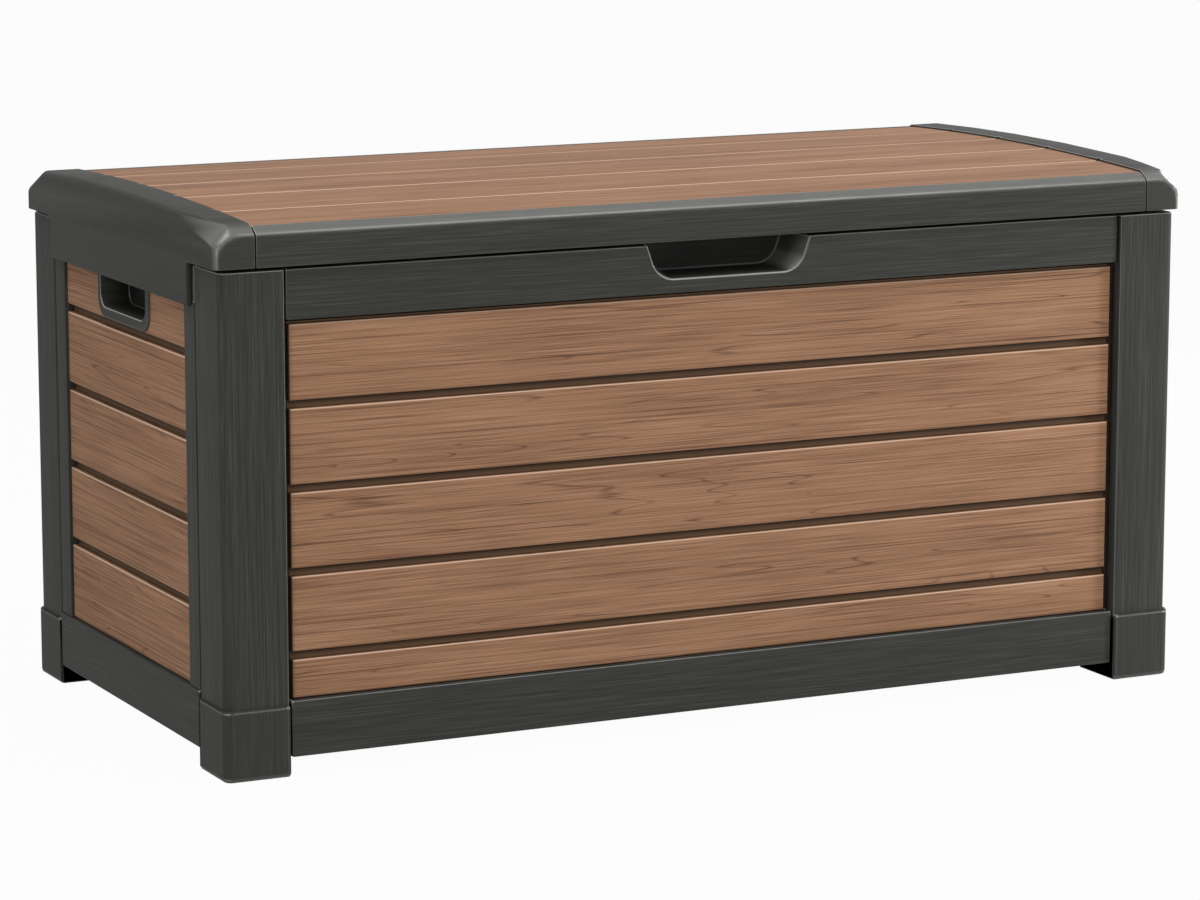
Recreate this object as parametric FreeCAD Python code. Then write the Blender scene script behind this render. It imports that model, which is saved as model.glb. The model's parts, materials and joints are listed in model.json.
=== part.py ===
import FreeCAD, Part
import math
import os

from FreeCAD import Vector

# Outdoor storage box in moulded resin, with a hinged lid.
# Millimetres. X runs along the box, the front faces -Y, Z is up.
# The origin is on the ground under the middle of the box.

# Overall
LID_LENGTH = 1280.0          # over both end caps
LID_DEPTH = 640.0            # over the lid's front and rear rails
BODY_HEIGHT = 586.0          # ground to the top of the posts
LID_GAP = 4.0                # shadow line between the posts and the lid
END_CLEARANCE = 0.9          # inside of the lid's end wall to the posts
OVERHANG_FRONT = 2.0         # lid past the posts in front and behind
SEAT = 0.3                   # play between pieces that seat on each other
SIDE_GAP = 3.2               # gap between a post and the rail beside it

# Corner posts
POST_X = 78.0                # width of a post's front face
POST_Y = 77.5                # width of its end face
POST_CORNER = 11.0           # rounded outer corner
POST_WALL = 3.0
POST_CAP = 6.0               # closed top of the post
CHANNEL_DEPTH = 16.0         # groove in the post that takes the walls and rails
EDGE_ROUND = 2.0             # soft edge of the graphite mouldings
EDGE_BEVEL = 1.5             # bevel where two soft edges would meet a curve

# Feet
FOOT_HEIGHT = 84.0
FOOT_PROUD_END = 2.6         # foot past the post's end face
FOOT_PROUD_FRONT = 4.2       # foot past the post's front face
FOOT_FLOOR = 6.0
FOOT_BOTTOM_BEVEL = 3.0
SPIGOT_HEIGHT = 40.0         # square ring inside the post's hollow
SPIGOT_WALL = 3.0

# Plank walls
FRONT_SHEET_SETBACK = 17.0   # post's front face to the base sheet
SIDE_SHEET_SETBACK = 11.5    # post's end face to the base sheet
SHEET = 3.0                  # wall of the moulded sheet and boards
BOARD_RELIEF = 8.0           # boards stand this far out of the base sheet
BOARD_PITCH = 97.0
BOARD_GROOVE = 9.0           # gap between two boards
BOARD_BEVEL = 2.2
FRONT_TOP_BOARD = 90.1       # width of the highest board in front
SIDE_TOP_BOARD = 57.3        # width of the highest board at the ends
BOARD_END_GAP = 8.3          # post's inner face to the end of a front board
FLANGE = 16.0                # thickness of the walls' edges
FLANGE_WIDTH = 9.0
WALL_RIB = 3.0
RIB_SPACING = 420.0
TONGUE = 10.0                # wall edge inside a rail

# Rails of the front and the rear
TOP_RAIL_SETBACK = 3.5       # post's front face to the rail
RAIL_BACK_WALL = 5.0         # behind the groove that holds the wall's edge
RAIL_TOP_WALL = 4.0
RAIL_END_BLOCK = 12.0        # solid end of a rail, behind its tenon
BOTTOM_RAIL_LOW = 22.2       # underside above the ground
BOTTOM_RAIL_HIGH = 88.3
BOTTOM_RAIL_SETBACK = 0.3
RAIL_WALL = 4.0
LEDGE_HEIGHT = 46.0          # top of the ledge that carries the floor
LEDGE_WIDTH = 17.0
LEDGE_THICK = 8.0

# Finger notch in the front top rail
NOTCH_OFFSET = 12.0          # the notch sits a little right of the middle
NOTCH_BOTTOM_WIDTH = 146.0
NOTCH_DEPTH = 41.0           # below the top of the rail
NOTCH_CORNER = 30.0
NOTCH_LEAN = 19.0            # lean of its ends, degrees from upright
NOTCH_RECESS = 50.0          # front face to the back of the finger recess
NOTCH_BACK_SHARE = 0.84      # width of the recess's back to its mouth
NOTCH_FLOOR_RISE = 4.0
NOTCH_WALL = 4.0
NOTCH_TO_TONGUE = 3.2        # room between the recess and the wall's edge below it

# Ends: stiles, skirts and hand-hole rails
STILE_SETBACK = 0.4
STILE_WIDTH = 33.3
SKIRT_PROUD = 1.7
SKIRT_LOW = 24.5
SKIRT_HIGH = 92.0
HANDLE_RAIL_HEIGHT = 41.0
CUP_WIDTH = 152.0            # clear width of the hand hole
CUP_HEIGHT = 61.0
CUP_DROP = 26.0              # top of the posts to the top of the hand hole
CUP_CORNER = 16.0
BEZEL_SIDE = 10.5            # grey border beside the hand hole
BEZEL_BELOW = 13.0           # and below it
BEZEL_CORNER = 24.0
CUP_DEPTH = 37.0
CUP_WALL = 3.0

# Floor
FLOOR_SKIN = 3.5
FLOOR_RIB_HEIGHT = 12.0
FLOOR_RIB = 3.0
FLOOR_RIBS_ACROSS = 9
FLOOR_RIBS_ALONG = 4
FLOOR_PLAY = 2.0

# Lid
CAP_WIDTH = 49.0             # length of an end cap along X
CAP_WALL = 5.8               # end wall and apron
CAP_INNER_WALL = 3.5
CAP_TOP_WALL = 4.0
CAP_STEP = 2.5               # cap above the boards
CAP_ROUND = 9.0              # soft outer edge of a cap
CAP_FLARE_LENGTH = 120.0     # bevel that widens towards the cap's front corner
CAP_FLARE_DROP = 18.0        # how far its lower edge comes down over that length
CAP_FLARE_WIDTH = 23.0       # its width on top, behind the front shoulder
CAP_FLARE_FRONT = 25.0       # and where it meets the front face
CAP_FLARE_BEND = 2.0         # its edges are sharper than the rest of the cap's
LID_CROWN = 55.0             # underside of the lid to the top of the boards
CROWN_RADIUS = 6000.0        # cross curve of the boards
CROWN_SHIFT = 10.0           # the crown's top lies this far behind the middle
APRON_DROP = 51.0            # lower edge of the apron below the lid's underside
APRON_END_GAP = 8.5          # apron's end to the side of a post
BACK_SLOPE_DEPTH = 58.0      # depth of the sloping back shoulder
BACK_SLOPE_DROP = 23.7       # boards to the top of the straight rear face
BACK_ROUND_LOW = 13.0
FRONT_RAIL_DEPTH = 14.0      # lid's front face to the first board
FRONT_SHOULDER_DROP = 8.7    # boards to the top of the straight front face
LID_RAIL_END_GAP = 2.0       # seam between the front or rear rail and a cap
FRONT_RAIL_LIP = 0.5         # front and rear rails stand above the boards
FRONT_RAIL_ROUND = 9.0       # soft bend between the front face and the shoulder
FRONT_BEND = [0.0, 0.5, 1.5, 4.0]   # depths at which that bend is drawn
BACK_BEND = [0.0, 1.0, 3.6, 7.7]    # and the one behind
LID_WALL = 4.0
LEDGE_UNDER_BOARDS = 16.0
LID_BOARD_THICK = 5.0
LID_BOARDS = 5
LID_EDGE_BOARD = 98.5        # width of the first and the last board
LID_BOARD_GAP = 3.6
LID_BOARD_END_GAP = 1.4
LID_BOARD_BEVEL = 1.8
NOTCH_AT_CAP = 8.0           # drain notch in the cap at each gap
LINER_SKIN = 2.5
LINER_RIB = 3.0
LINER_RIBS_ACROSS = 7
LINER_RIBS_ALONG = 3
LINER_RIB_LIFT = 6.0         # ribs end this far above the lid's underside

# Hinges
HINGE_SHARE = 0.3125         # middle hinge to an outer one, as a share of the lid's length
KNUCKLE_RADIUS = 7.0
KNUCKLE_WIDTH = 39.0
KNUCKLE_PLAY = 0.5           # at each end of the knuckle
KNUCKLE_ROOM = 0.4           # round the knuckle, inside the lid
PIN_RADIUS = 3.0
PIN_PLAY = 0.08              # pin in the knuckle, on the radius
PIN_GRIP = 0.02              # pin in the lid's lugs, on the radius
LUG_WIDTH = 24.0
LUG_TOP = 16.0               # above the lid's underside
LID_LEAN = 5.0               # the lid opens this many degrees past upright
LEAF_THICK = 3.0
LEAF_WIDTH = 62.0
LEAF_DROP = 41.0             # leaf below the top of the rear rail
LEAF_TOP_MARGIN = 2.0
SCREW_HEAD = 4.0             # radius
SCREW_HEAD_HEIGHT = 1.6
SCREW_SHANK = 1.9            # radius
SCREW_LENGTH = 9.0
SCREW_PLAY = 0.1
SCREW_INSET = 9.0
SCREW_SIDES = 8

# Bumpers under the lid's front edge
BUMPER_LENGTH = 34.0
BUMPER_WIDTH = 13.0
BUMPER_SHARE = 0.297         # middle of the lid to a bumper, as a share of its length
BUMPER_BEVEL = 3.0

# Places worked out from the sizes above
post_x = LID_LENGTH / 2 - CAP_WALL - END_CLEARANCE
post_y = LID_DEPTH / 2 - OVERHANG_FRONT
inner_x = post_x - POST_X
inner_y = post_y - POST_Y
lid_bottom = BODY_HEIGHT + LID_GAP
front_sheet = post_y - FRONT_SHEET_SETBACK
side_sheet = post_x - SIDE_SHEET_SETBACK
flange_reach = FLANGE + SEAT + RAIL_BACK_WALL
rail_back = front_sheet - flange_reach
skirt_back = side_sheet - flange_reach
top_rail_low = BODY_HEIGHT - NOTCH_DEPTH - NOTCH_WALL - NOTCH_TO_TONGUE - TONGUE
top_rail_face = post_y - TOP_RAIL_SETBACK
handle_rail_low = BODY_HEIGHT - HANDLE_RAIL_HEIGHT
handle_face = post_x - STILE_SETBACK
cup_high = BODY_HEIGHT - CUP_DROP
cup_low = cup_high - CUP_HEIGHT
bezel_low = cup_low - BEZEL_BELOW
bezel_width = CUP_WIDTH + 2 * BEZEL_SIDE
channel_top = BODY_HEIGHT - POST_CAP
cap_seam = LID_LENGTH / 2 - CAP_WIDTH
slope_top = LID_DEPTH / 2 - BACK_SLOPE_DEPTH
hinge_y = LID_DEPTH / 2 - KNUCKLE_RADIUS
hinge_z = lid_bottom + KNUCKLE_RADIUS
hinge_places = [-HINGE_SHARE * LID_LENGTH, 0.0, HINGE_SHARE * LID_LENGTH]
bumper_x = BUMPER_SHARE * LID_LENGTH
liner_front = -LID_DEPTH / 2 + FRONT_RAIL_DEPTH + LEDGE_UNDER_BOARDS + SEAT
liner_back = slope_top - LID_WALL - LEDGE_UNDER_BOARDS - SEAT
deck_front = -LID_DEPTH / 2 + FRONT_RAIL_DEPTH + SEAT
deck_back = slope_top - LID_WALL - SEAT


def block(x0, x1, y0, y1, z0, z1):
    """A plain box between two corners."""
    return Part.makeBox(x1 - x0, y1 - y0, z1 - z0, Vector(x0, y0, z0))


def on_plane(edge, axis, value):
    """True where the whole edge lies in the plane axis = value."""
    box = edge.BoundBox
    low, high = {"x": (box.XMin, box.XMax), "y": (box.YMin, box.YMax), "z": (box.ZMin, box.ZMax)}[axis]
    return abs(low - value) < 0.02 and abs(high - value) < 0.02


def rounded(shape, radius, test):
    """The shape with a fillet on each edge that passes the test."""
    edges = [edge for edge in shape.Edges if test(edge)]
    return shape.makeFillet(radius, edges) if edges else shape


def bevelled(shape, size, test):
    """The shape with a chamfer on each edge that passes the test."""
    edges = [edge for edge in shape.Edges if test(edge)]
    return shape.makeChamfer(size, edges) if edges else shape


def joined(first, others):
    """One solid from pieces that touch."""
    return first.multiFuse(others).removeSplitter() if others else first


def profile_along_x(edges, x0, x1):
    """A closed outline at x0, extruded to x1."""
    return Part.Face(Part.Wire(edges)).extrude(Vector(x1 - x0, 0, 0))


def outline(points):
    """Straight edges round a list of points."""
    return Part.makePolygon(points + [points[0]]).Edges


def cylinder_x(radius, x0, x1, y, z):
    return Part.makeCylinder(radius, x1 - x0, Vector(x0, y, z), Vector(1, 0, 0))


def mirrored(shape, axis):
    return shape.mirror(Vector(0, 0, 0), Vector(1, 0, 0) if axis == "x" else Vector(0, 1, 0))


def to_left(shape):
    """Turns a piece made for the front wall to the left end."""
    turned = shape.copy()
    turned.rotate(Vector(0, 0, 0), Vector(0, 0, 1), -90)
    return turned


def to_right(shape):
    turned = shape.copy()
    turned.rotate(Vector(0, 0, 0), Vector(0, 0, 1), 90)
    return turned


def crown(y):
    """Height of the lid boards' top surface at y."""
    return lid_bottom + LID_CROWN - (y - CROWN_SHIFT) ** 2 / (2 * CROWN_RADIUS)


back_face_top = crown(slope_top) - BACK_SLOPE_DROP


def crown_arc(x, y0, y1, lift):
    """An arc along the crown from y0 to y1, lifted by a height."""
    ends = [Vector(x, y, crown(y) + lift) for y in (y0, (y0 + y1) / 2, y1)]
    return Part.Arc(*ends).toShape()


def post():
    """Front left corner post: hollow, with a channel in each inner face."""
    x0, y0 = -post_x, -post_y
    body = block(x0, -inner_x, y0, -inner_y, FOOT_FLOOR, BODY_HEIGHT)
    body = rounded(body, POST_CORNER, lambda e: on_plane(e, "x", x0) and on_plane(e, "y", y0))
    body = rounded(body, EDGE_ROUND, lambda e: (on_plane(e, "x", -inner_x) and on_plane(e, "y", y0))
                   or (on_plane(e, "x", x0) and on_plane(e, "y", -inner_y)))
    hollow = block(x0 + POST_WALL, -inner_x - CHANNEL_DEPTH - POST_WALL, y0 + POST_WALL,
                   -inner_y - CHANNEL_DEPTH - POST_WALL, FOOT_FLOOR, BODY_HEIGHT - POST_CAP)
    hollow = rounded(hollow, POST_CORNER - POST_WALL,
                     lambda e: on_plane(e, "x", x0 + POST_WALL) and on_plane(e, "y", y0 + POST_WALL))
    front_channel = block(-inner_x - CHANNEL_DEPTH, -inner_x, -front_sheet - SEAT,
                          -front_sheet + FLANGE + SEAT, FOOT_FLOOR, channel_top)
    side_channel = block(-side_sheet - SEAT, -side_sheet + FLANGE + SEAT, -inner_y - CHANNEL_DEPTH,
                         -inner_y, FOOT_FLOOR, channel_top)
    return body.cut(hollow).cut(front_channel).cut(side_channel)


def foot():
    """Front left shoe: two outer walls, a floor and a spigot inside the post."""
    x0, y0 = -post_x - FOOT_PROUD_END, -post_y - FOOT_PROUD_FRONT
    body = block(x0, -inner_x, y0, -inner_y, 0, FOOT_HEIGHT)
    body = rounded(body, POST_CORNER, lambda e: on_plane(e, "x", x0) and on_plane(e, "y", y0))

    def outside(edge):
        return edge.CenterOfMass.x < -post_x + POST_CORNER or edge.CenterOfMass.y < -post_y + POST_CORNER

    body = bevelled(body, EDGE_BEVEL, lambda e: on_plane(e, "z", FOOT_HEIGHT) and outside(e))
    body = bevelled(body, FOOT_BOTTOM_BEVEL, lambda e: on_plane(e, "z", 0) and outside(e))
    body = bevelled(body, EDGE_BEVEL, lambda e: (on_plane(e, "x", -inner_x) and on_plane(e, "y", y0))
                    or (on_plane(e, "x", x0) and on_plane(e, "y", -inner_y)))
    pocket = block(-post_x - SEAT, -inner_x, -post_y - SEAT, -inner_y, FOOT_FLOOR, FOOT_HEIGHT)
    pocket = rounded(pocket, POST_CORNER, lambda e: on_plane(e, "x", -post_x - SEAT)
                     and on_plane(e, "y", -post_y - SEAT))
    x1, y1 = -post_x + POST_WALL + SEAT, -post_y + POST_WALL + SEAT
    x2, y2 = -inner_x - CHANNEL_DEPTH - POST_WALL - SEAT, -inner_y - CHANNEL_DEPTH - POST_WALL - SEAT
    spigot = block(x1, x2, y1, y2, FOOT_FLOOR - 1, FOOT_FLOOR + SPIGOT_HEIGHT)
    spigot = bevelled(spigot, POST_CORNER - POST_WALL,
                      lambda e: on_plane(e, "x", x1) and on_plane(e, "y", y1))
    bore = block(x1 + SPIGOT_WALL, x2 - SPIGOT_WALL, y1 + SPIGOT_WALL, y2 - SPIGOT_WALL,
                 FOOT_FLOOR, FOOT_FLOOR + SPIGOT_HEIGHT)
    return joined(body.cut(pocket), [spigot.cut(bore)])


def board_bands(top_board, low, high):
    """Lower and upper edge of each board between two rails."""
    bands = []
    top = high
    bottom = high - top_board
    while bottom - BOARD_GROOVE > low + BOARD_GROOVE:
        bands.append((bottom, top))
        top = bottom - BOARD_GROOVE
        bottom -= BOARD_PITCH
    bands.append((low, top))
    return bands


def plank_wall(face, half_width, board_half, tongue_half, low, high, bands):
    """A wall made for the front: base sheet, raised hollow boards, ribs and thick edges."""
    sheet = block(-half_width, half_width, -face, -face + SHEET, low, high)
    back = -face + FLANGE
    parts = [block(-half_width, -half_width + FLANGE_WIDTH, -face, back, low, high),
             block(half_width - FLANGE_WIDTH, half_width, -face, back, low, high),
             block(-tongue_half, tongue_half, -face, back, low - TONGUE, low + FLANGE_WIDTH),
             block(-tongue_half, tongue_half, -face, back, high - FLANGE_WIDTH, high + TONGUE)]
    front = -face - BOARD_RELIEF
    pockets = []
    for z0, z1 in bands:
        board = block(-board_half, board_half, front, -face, z0, z1)
        board = bevelled(board, BOARD_BEVEL, lambda e: on_plane(e, "y", front))
        parts.append(board)
        if z1 - z0 > 4 * SHEET:
            pockets.append(block(-board_half + SHEET, board_half - SHEET, front + SHEET, -face + SHEET,
                                 max(z0, low + FLANGE_WIDTH) + SHEET, min(z1, high - FLANGE_WIDTH) - SHEET))
    wall = joined(sheet, parts)
    for pocket in pockets:
        wall = wall.cut(pocket)
    count = max(1, int(2 * board_half / RIB_SPACING))
    ribs = []
    for k in range(count):
        x = -board_half + (k + 0.5) * 2 * board_half / count
        x0, x1 = x - WALL_RIB / 2, x + WALL_RIB / 2
        ribs.append(block(x0, x1, -face + SHEET / 2, back, low, high))
        for pocket in pockets:
            box = pocket.BoundBox
            ribs.append(block(x0, x1, box.YMin, -face + SHEET, box.ZMin, box.ZMax))
    return joined(wall, ribs)


def front_wall():
    low, high = BOTTOM_RAIL_HIGH + SEAT, top_rail_low - SEAT
    bands = board_bands(FRONT_TOP_BOARD, low + SEAT, high - BOARD_BEVEL)
    return plank_wall(front_sheet, inner_x + CHANNEL_DEPTH - SEAT, inner_x - BOARD_END_GAP,
                      inner_x - SIDE_GAP - RAIL_END_BLOCK - SEAT, low, high, bands)


def tenon(rail_half, half_span, face, z0, z1):
    """Tenons at both ends of a rail, which slide in the posts' channels."""
    tip = half_span + CHANNEL_DEPTH - SEAT
    return [block(rail_half - 1, tip, -face, -face + FLANGE, z0, z1),
            block(-tip, -rail_half + 1, -face, -face + FLANGE, z0, z1)]


def top_rail():
    """Top rail made for the front, open below where the wall's edge enters."""
    half = inner_x - SIDE_GAP
    body = block(-half, half, -top_rail_face, -rail_back, top_rail_low, BODY_HEIGHT)
    body = rounded(body, EDGE_ROUND, lambda e: on_plane(e, "y", -top_rail_face))
    groove = block(-half + RAIL_END_BLOCK, half - RAIL_END_BLOCK, -front_sheet - SEAT,
                   -front_sheet + FLANGE + SEAT, top_rail_low, BODY_HEIGHT - RAIL_TOP_WALL)
    return joined(body.cut(groove), tenon(half, inner_x, front_sheet, top_rail_low + SEAT,
                                          channel_top - SEAT))


def notch_outline(y, share, rise):
    """Outline of the finger notch at y: flat floor, round corners, leaning ends."""
    floor = BODY_HEIGHT - NOTCH_DEPTH + rise
    half = NOTCH_BOTTOM_WIDTH / 2 * share
    lean = math.radians(NOTCH_LEAN)
    turn = math.pi / 2 - lean
    radius = NOTCH_CORNER
    top = BODY_HEIGHT + LID_GAP

    def place(x, z):
        return Vector(NOTCH_OFFSET + x, y, z)

    def on_corner(angle, side):
        return place(side * (half + radius * math.sin(angle)), floor + radius * (1 - math.cos(angle)))

    climb = top - (floor + radius * (1 - math.cos(turn)))
    reach = half + radius * math.sin(turn) + climb * math.tan(lean)
    corner_left = [on_corner(a, -1) for a in (turn, turn / 2, 0)]
    corner_right = [on_corner(a, 1) for a in (0, turn / 2, turn)]
    edges = [Part.makeLine(place(-reach, top), corner_left[0]),
             Part.Arc(*corner_left).toShape(),
             Part.makeLine(corner_left[2], corner_right[0]),
             Part.Arc(*corner_right).toShape(),
             Part.makeLine(corner_right[2], place(reach, top)),
             Part.makeLine(place(reach, top), place(-reach, top))]
    return Part.Wire(edges)


def front_top_rail():
    """Top rail with the finger notch and the recess behind it."""
    mouth = -top_rail_face
    back = mouth + NOTCH_RECESS
    half = NOTCH_BOTTOM_WIDTH / 2 + NOTCH_CORNER + 2 * NOTCH_WALL
    housing = block(NOTCH_OFFSET - half, NOTCH_OFFSET + half, -front_sheet - SEAT, back + NOTCH_WALL,
                    BODY_HEIGHT - NOTCH_DEPTH - NOTCH_WALL, BODY_HEIGHT)
    housing = bevelled(housing, NOTCH_WALL, lambda e: on_plane(e, "y", back + NOTCH_WALL)
                       and not on_plane(e, "z", BODY_HEIGHT))
    rail = joined(top_rail(), [housing])
    recess = Part.makeLoft([notch_outline(mouth - 1, 1.0, 0.0),
                            notch_outline(back, NOTCH_BACK_SHARE, NOTCH_FLOOR_RISE)], True, True)
    return rail.cut(recess)


def bottom_rail(face, half_span, sheet, low, high):
    """Bottom rail made for the front, with a ledge for the floor behind it."""
    half = half_span - SIDE_GAP
    back = -sheet + flange_reach
    body = block(-half, half, -face, back, low, high)
    body = rounded(body, EDGE_ROUND, lambda e: on_plane(e, "y", -face))
    groove = block(-half + RAIL_END_BLOCK, half - RAIL_END_BLOCK, -sheet - SEAT, -sheet + FLANGE + SEAT,
                   high - TONGUE - SEAT, high)
    hollow = block(-half + RAIL_END_BLOCK, half - RAIL_END_BLOCK, -face + RAIL_WALL, back - RAIL_WALL,
                   low, high - TONGUE - SEAT - RAIL_WALL)
    ledge = block(-half + RAIL_END_BLOCK, half - RAIL_END_BLOCK, back, back + LEDGE_WIDTH,
                  LEDGE_HEIGHT - LEDGE_THICK, LEDGE_HEIGHT)
    parts = [ledge] + tenon(half, half_span, sheet, low + RAIL_WALL, high)
    return joined(body.cut(groove).cut(hollow), parts)


def front_bottom_rail():
    return bottom_rail(post_y - BOTTOM_RAIL_SETBACK, inner_x, front_sheet, BOTTOM_RAIL_LOW,
                       BOTTOM_RAIL_HIGH)


def side_skirt():
    return bottom_rail(post_x + SKIRT_PROUD, inner_y, side_sheet, SKIRT_LOW, SKIRT_HIGH)


def rounded_slot(width, low, high, corner_low, y0, y1):
    """A block whose two lower corners are round, seen from the front."""
    body = block(-width / 2, width / 2, y0, y1, low, high)
    return rounded(body, corner_low, lambda e: on_plane(e, "z", low) and (
        on_plane(e, "x", -width / 2) or on_plane(e, "x", width / 2)))


def handle_rail():
    """Rail behind the lid's apron, in one moulding with the hand hole's bezel and cup."""
    face = handle_face
    half = inner_y - SIDE_GAP
    rail = block(-half, half, -face, -skirt_back, handle_rail_low, BODY_HEIGHT)
    rail = rounded(rail, EDGE_ROUND, lambda e: on_plane(e, "y", -face) and on_plane(e, "z", BODY_HEIGHT))
    groove = block(-half + RAIL_END_BLOCK, half - RAIL_END_BLOCK, -side_sheet - SEAT,
                   -side_sheet + FLANGE + SEAT, handle_rail_low, BODY_HEIGHT - RAIL_TOP_WALL)
    bezel = rounded_slot(bezel_width, bezel_low, handle_rail_low + 1, BEZEL_CORNER, -face,
                         -side_sheet - SEAT)
    bezel = bevelled(bezel, EDGE_BEVEL, lambda e: on_plane(e, "y", -face)
                     and not on_plane(e, "z", handle_rail_low + 1))
    cup = rounded_slot(CUP_WIDTH + 2 * CUP_WALL, cup_low - CUP_WALL, cup_high + CUP_WALL,
                       CUP_CORNER + CUP_WALL, -face + EDGE_ROUND, -face + CUP_DEPTH + CUP_WALL)
    cavity = rounded_slot(CUP_WIDTH, cup_low, cup_high, CUP_CORNER, -face - 1, -face + CUP_DEPTH)
    ends = tenon(half, inner_y, side_sheet, handle_rail_low + SEAT, channel_top - SEAT)
    return joined(rail.cut(groove), [bezel, cup] + ends).cut(cavity)


def side_wall():
    """End wall, cut out for the hand hole's cup and bezel."""
    low, high = SKIRT_HIGH + SEAT, handle_rail_low - SEAT
    bands = board_bands(SIDE_TOP_BOARD, low + SEAT, high - BOARD_BEVEL)
    board_half = inner_y - SIDE_GAP - STILE_WIDTH - SEAT
    wall = plank_wall(side_sheet, inner_y + CHANNEL_DEPTH - SEAT, board_half,
                      inner_y - SIDE_GAP - RAIL_END_BLOCK - SEAT, low, high, bands)
    through = rounded_slot(CUP_WIDTH + 2 * CUP_WALL + 2 * SEAT, cup_low - CUP_WALL - SEAT,
                           high + TONGUE + 1, CUP_CORNER + CUP_WALL + SEAT, -side_sheet - BOARD_RELIEF - 1,
                           -side_sheet + FLANGE + 1)
    rebate = rounded_slot(bezel_width + 2 * SEAT, bezel_low - SEAT, high + TONGUE + 1,
                          BEZEL_CORNER + SEAT, -side_sheet - BOARD_RELIEF - 1, -side_sheet)
    return wall.cut(through).cut(rebate)


def stile():
    """Graphite strip between the boards and a post, made for the front's right side."""
    face = handle_face
    outer = inner_y - SIDE_GAP
    body = block(outer - STILE_WIDTH, outer, -face, -side_sheet - SEAT, SKIRT_HIGH + SEAT,
                 handle_rail_low - SEAT)
    return rounded(body, EDGE_ROUND / 2, lambda e: on_plane(e, "y", -face)
                   and (on_plane(e, "x", outer - STILE_WIDTH) or on_plane(e, "x", outer)))


def floor_panel():
    """Floor with ribs below, notched round the posts, resting on the ledges."""
    half_x, half_y = skirt_back - FLOOR_PLAY, rail_back - FLOOR_PLAY
    z0 = LEDGE_HEIGHT + SEAT
    skin = block(-half_x, half_x, -half_y, half_y, z0, z0 + FLOOR_SKIN)
    rib_x, rib_y = skirt_back - LEDGE_WIDTH - FLOOR_PLAY, rail_back - LEDGE_WIDTH - FLOOR_PLAY
    low = z0 - FLOOR_RIB_HEIGHT
    ribs = []
    for k in range(FLOOR_RIBS_ACROSS):
        x = -rib_x + FLOOR_RIB / 2 + k * (2 * rib_x - FLOOR_RIB) / (FLOOR_RIBS_ACROSS - 1)
        ribs.append(block(x - FLOOR_RIB / 2, x + FLOOR_RIB / 2, -rib_y, rib_y, low, z0))
    for k in range(FLOOR_RIBS_ALONG):
        y = -rib_y + FLOOR_RIB / 2 + k * (2 * rib_y - FLOOR_RIB) / (FLOOR_RIBS_ALONG - 1)
        ribs.append(block(-rib_x, rib_x, y - FLOOR_RIB / 2, y + FLOOR_RIB / 2, low, z0))
    panel = joined(skin, ribs)
    for sx in (-1, 1):
        for sy in (-1, 1):
            x = sorted((sx * (inner_x - FLOOR_PLAY), sx * (half_x + 1)))
            y = sorted((sy * (inner_y - FLOOR_PLAY), sy * (half_y + 1)))
            panel = panel.cut(block(x[0], x[1], y[0], y[1], low - 1, z0 + FLOOR_SKIN + 1))
    return panel


def turn_in(radius, depth):
    """How far a round corner of a radius stands back at a depth inside its face."""
    left = max(radius - depth, 0.0)
    return radius - math.sqrt(radius * radius - left * left)


front_face_top = crown(-LID_DEPTH / 2 + FRONT_RAIL_DEPTH) - FRONT_SHOULDER_DROP
shoulder_slope = (FRONT_SHOULDER_DROP + FRONT_RAIL_LIP) / FRONT_RAIL_DEPTH
back_slope = (crown(slope_top) + CAP_STEP - back_face_top) / BACK_SLOPE_DEPTH


def round_over(depth, radius, slope):
    """Height lost to a round bend between an upright face and a slope, at a depth inside the face."""
    angle = math.atan(slope)
    reach = radius * math.tan(math.pi / 4 - angle / 2)
    if depth >= reach * math.cos(angle):
        return 0.0
    return slope * depth + reach - math.sqrt(radius ** 2 - (radius - depth) ** 2)


def cap_top(y):
    """Height of an end cap's upper side at y."""
    front, back = y + LID_DEPTH / 2, LID_DEPTH / 2 - y
    level = crown(y) + CAP_STEP
    shoulder = front_face_top + shoulder_slope * front - round_over(front, FRONT_RAIL_ROUND, shoulder_slope)
    slope = back_face_top + back_slope * back - round_over(back, BACK_ROUND_LOW, back_slope)
    return min(level, shoulder, slope)


def cap_side(y):
    """Distance of an end cap's outer face from the end of the lid at y: its upright corners are round."""
    return turn_in(CAP_ROUND, min(y + LID_DEPTH / 2, LID_DEPTH / 2 - y))


def cap_bevel(y):
    """Width and drop of the bevel along an end cap's upper outer edge at y."""
    fold = CAP_ROUND * (2 - math.sqrt(2))
    front = y + LID_DEPTH / 2
    share = max(0.0, 1 - front / CAP_FLARE_LENGTH)
    shoulder = (1 - min(1.0, front / (CAP_FLARE_FRONT - CAP_FLARE_WIDTH))) * (CAP_FLARE_FRONT - CAP_FLARE_WIDTH)
    width = fold + share * (CAP_FLARE_WIDTH - fold) + shoulder - cap_side(y)
    low = crown(y) + CAP_STEP - fold - share * CAP_FLARE_DROP - cap_side(y) / 2
    return width, max(fold, cap_top(y) - low)


def bent(first, corner, last):
    """Three points of a soft bend from first to last round a corner."""
    middle = tuple((a + 2 * b + c) / 4 for a, b, c in zip(first, corner, last))
    return [first, middle, last]


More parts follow.
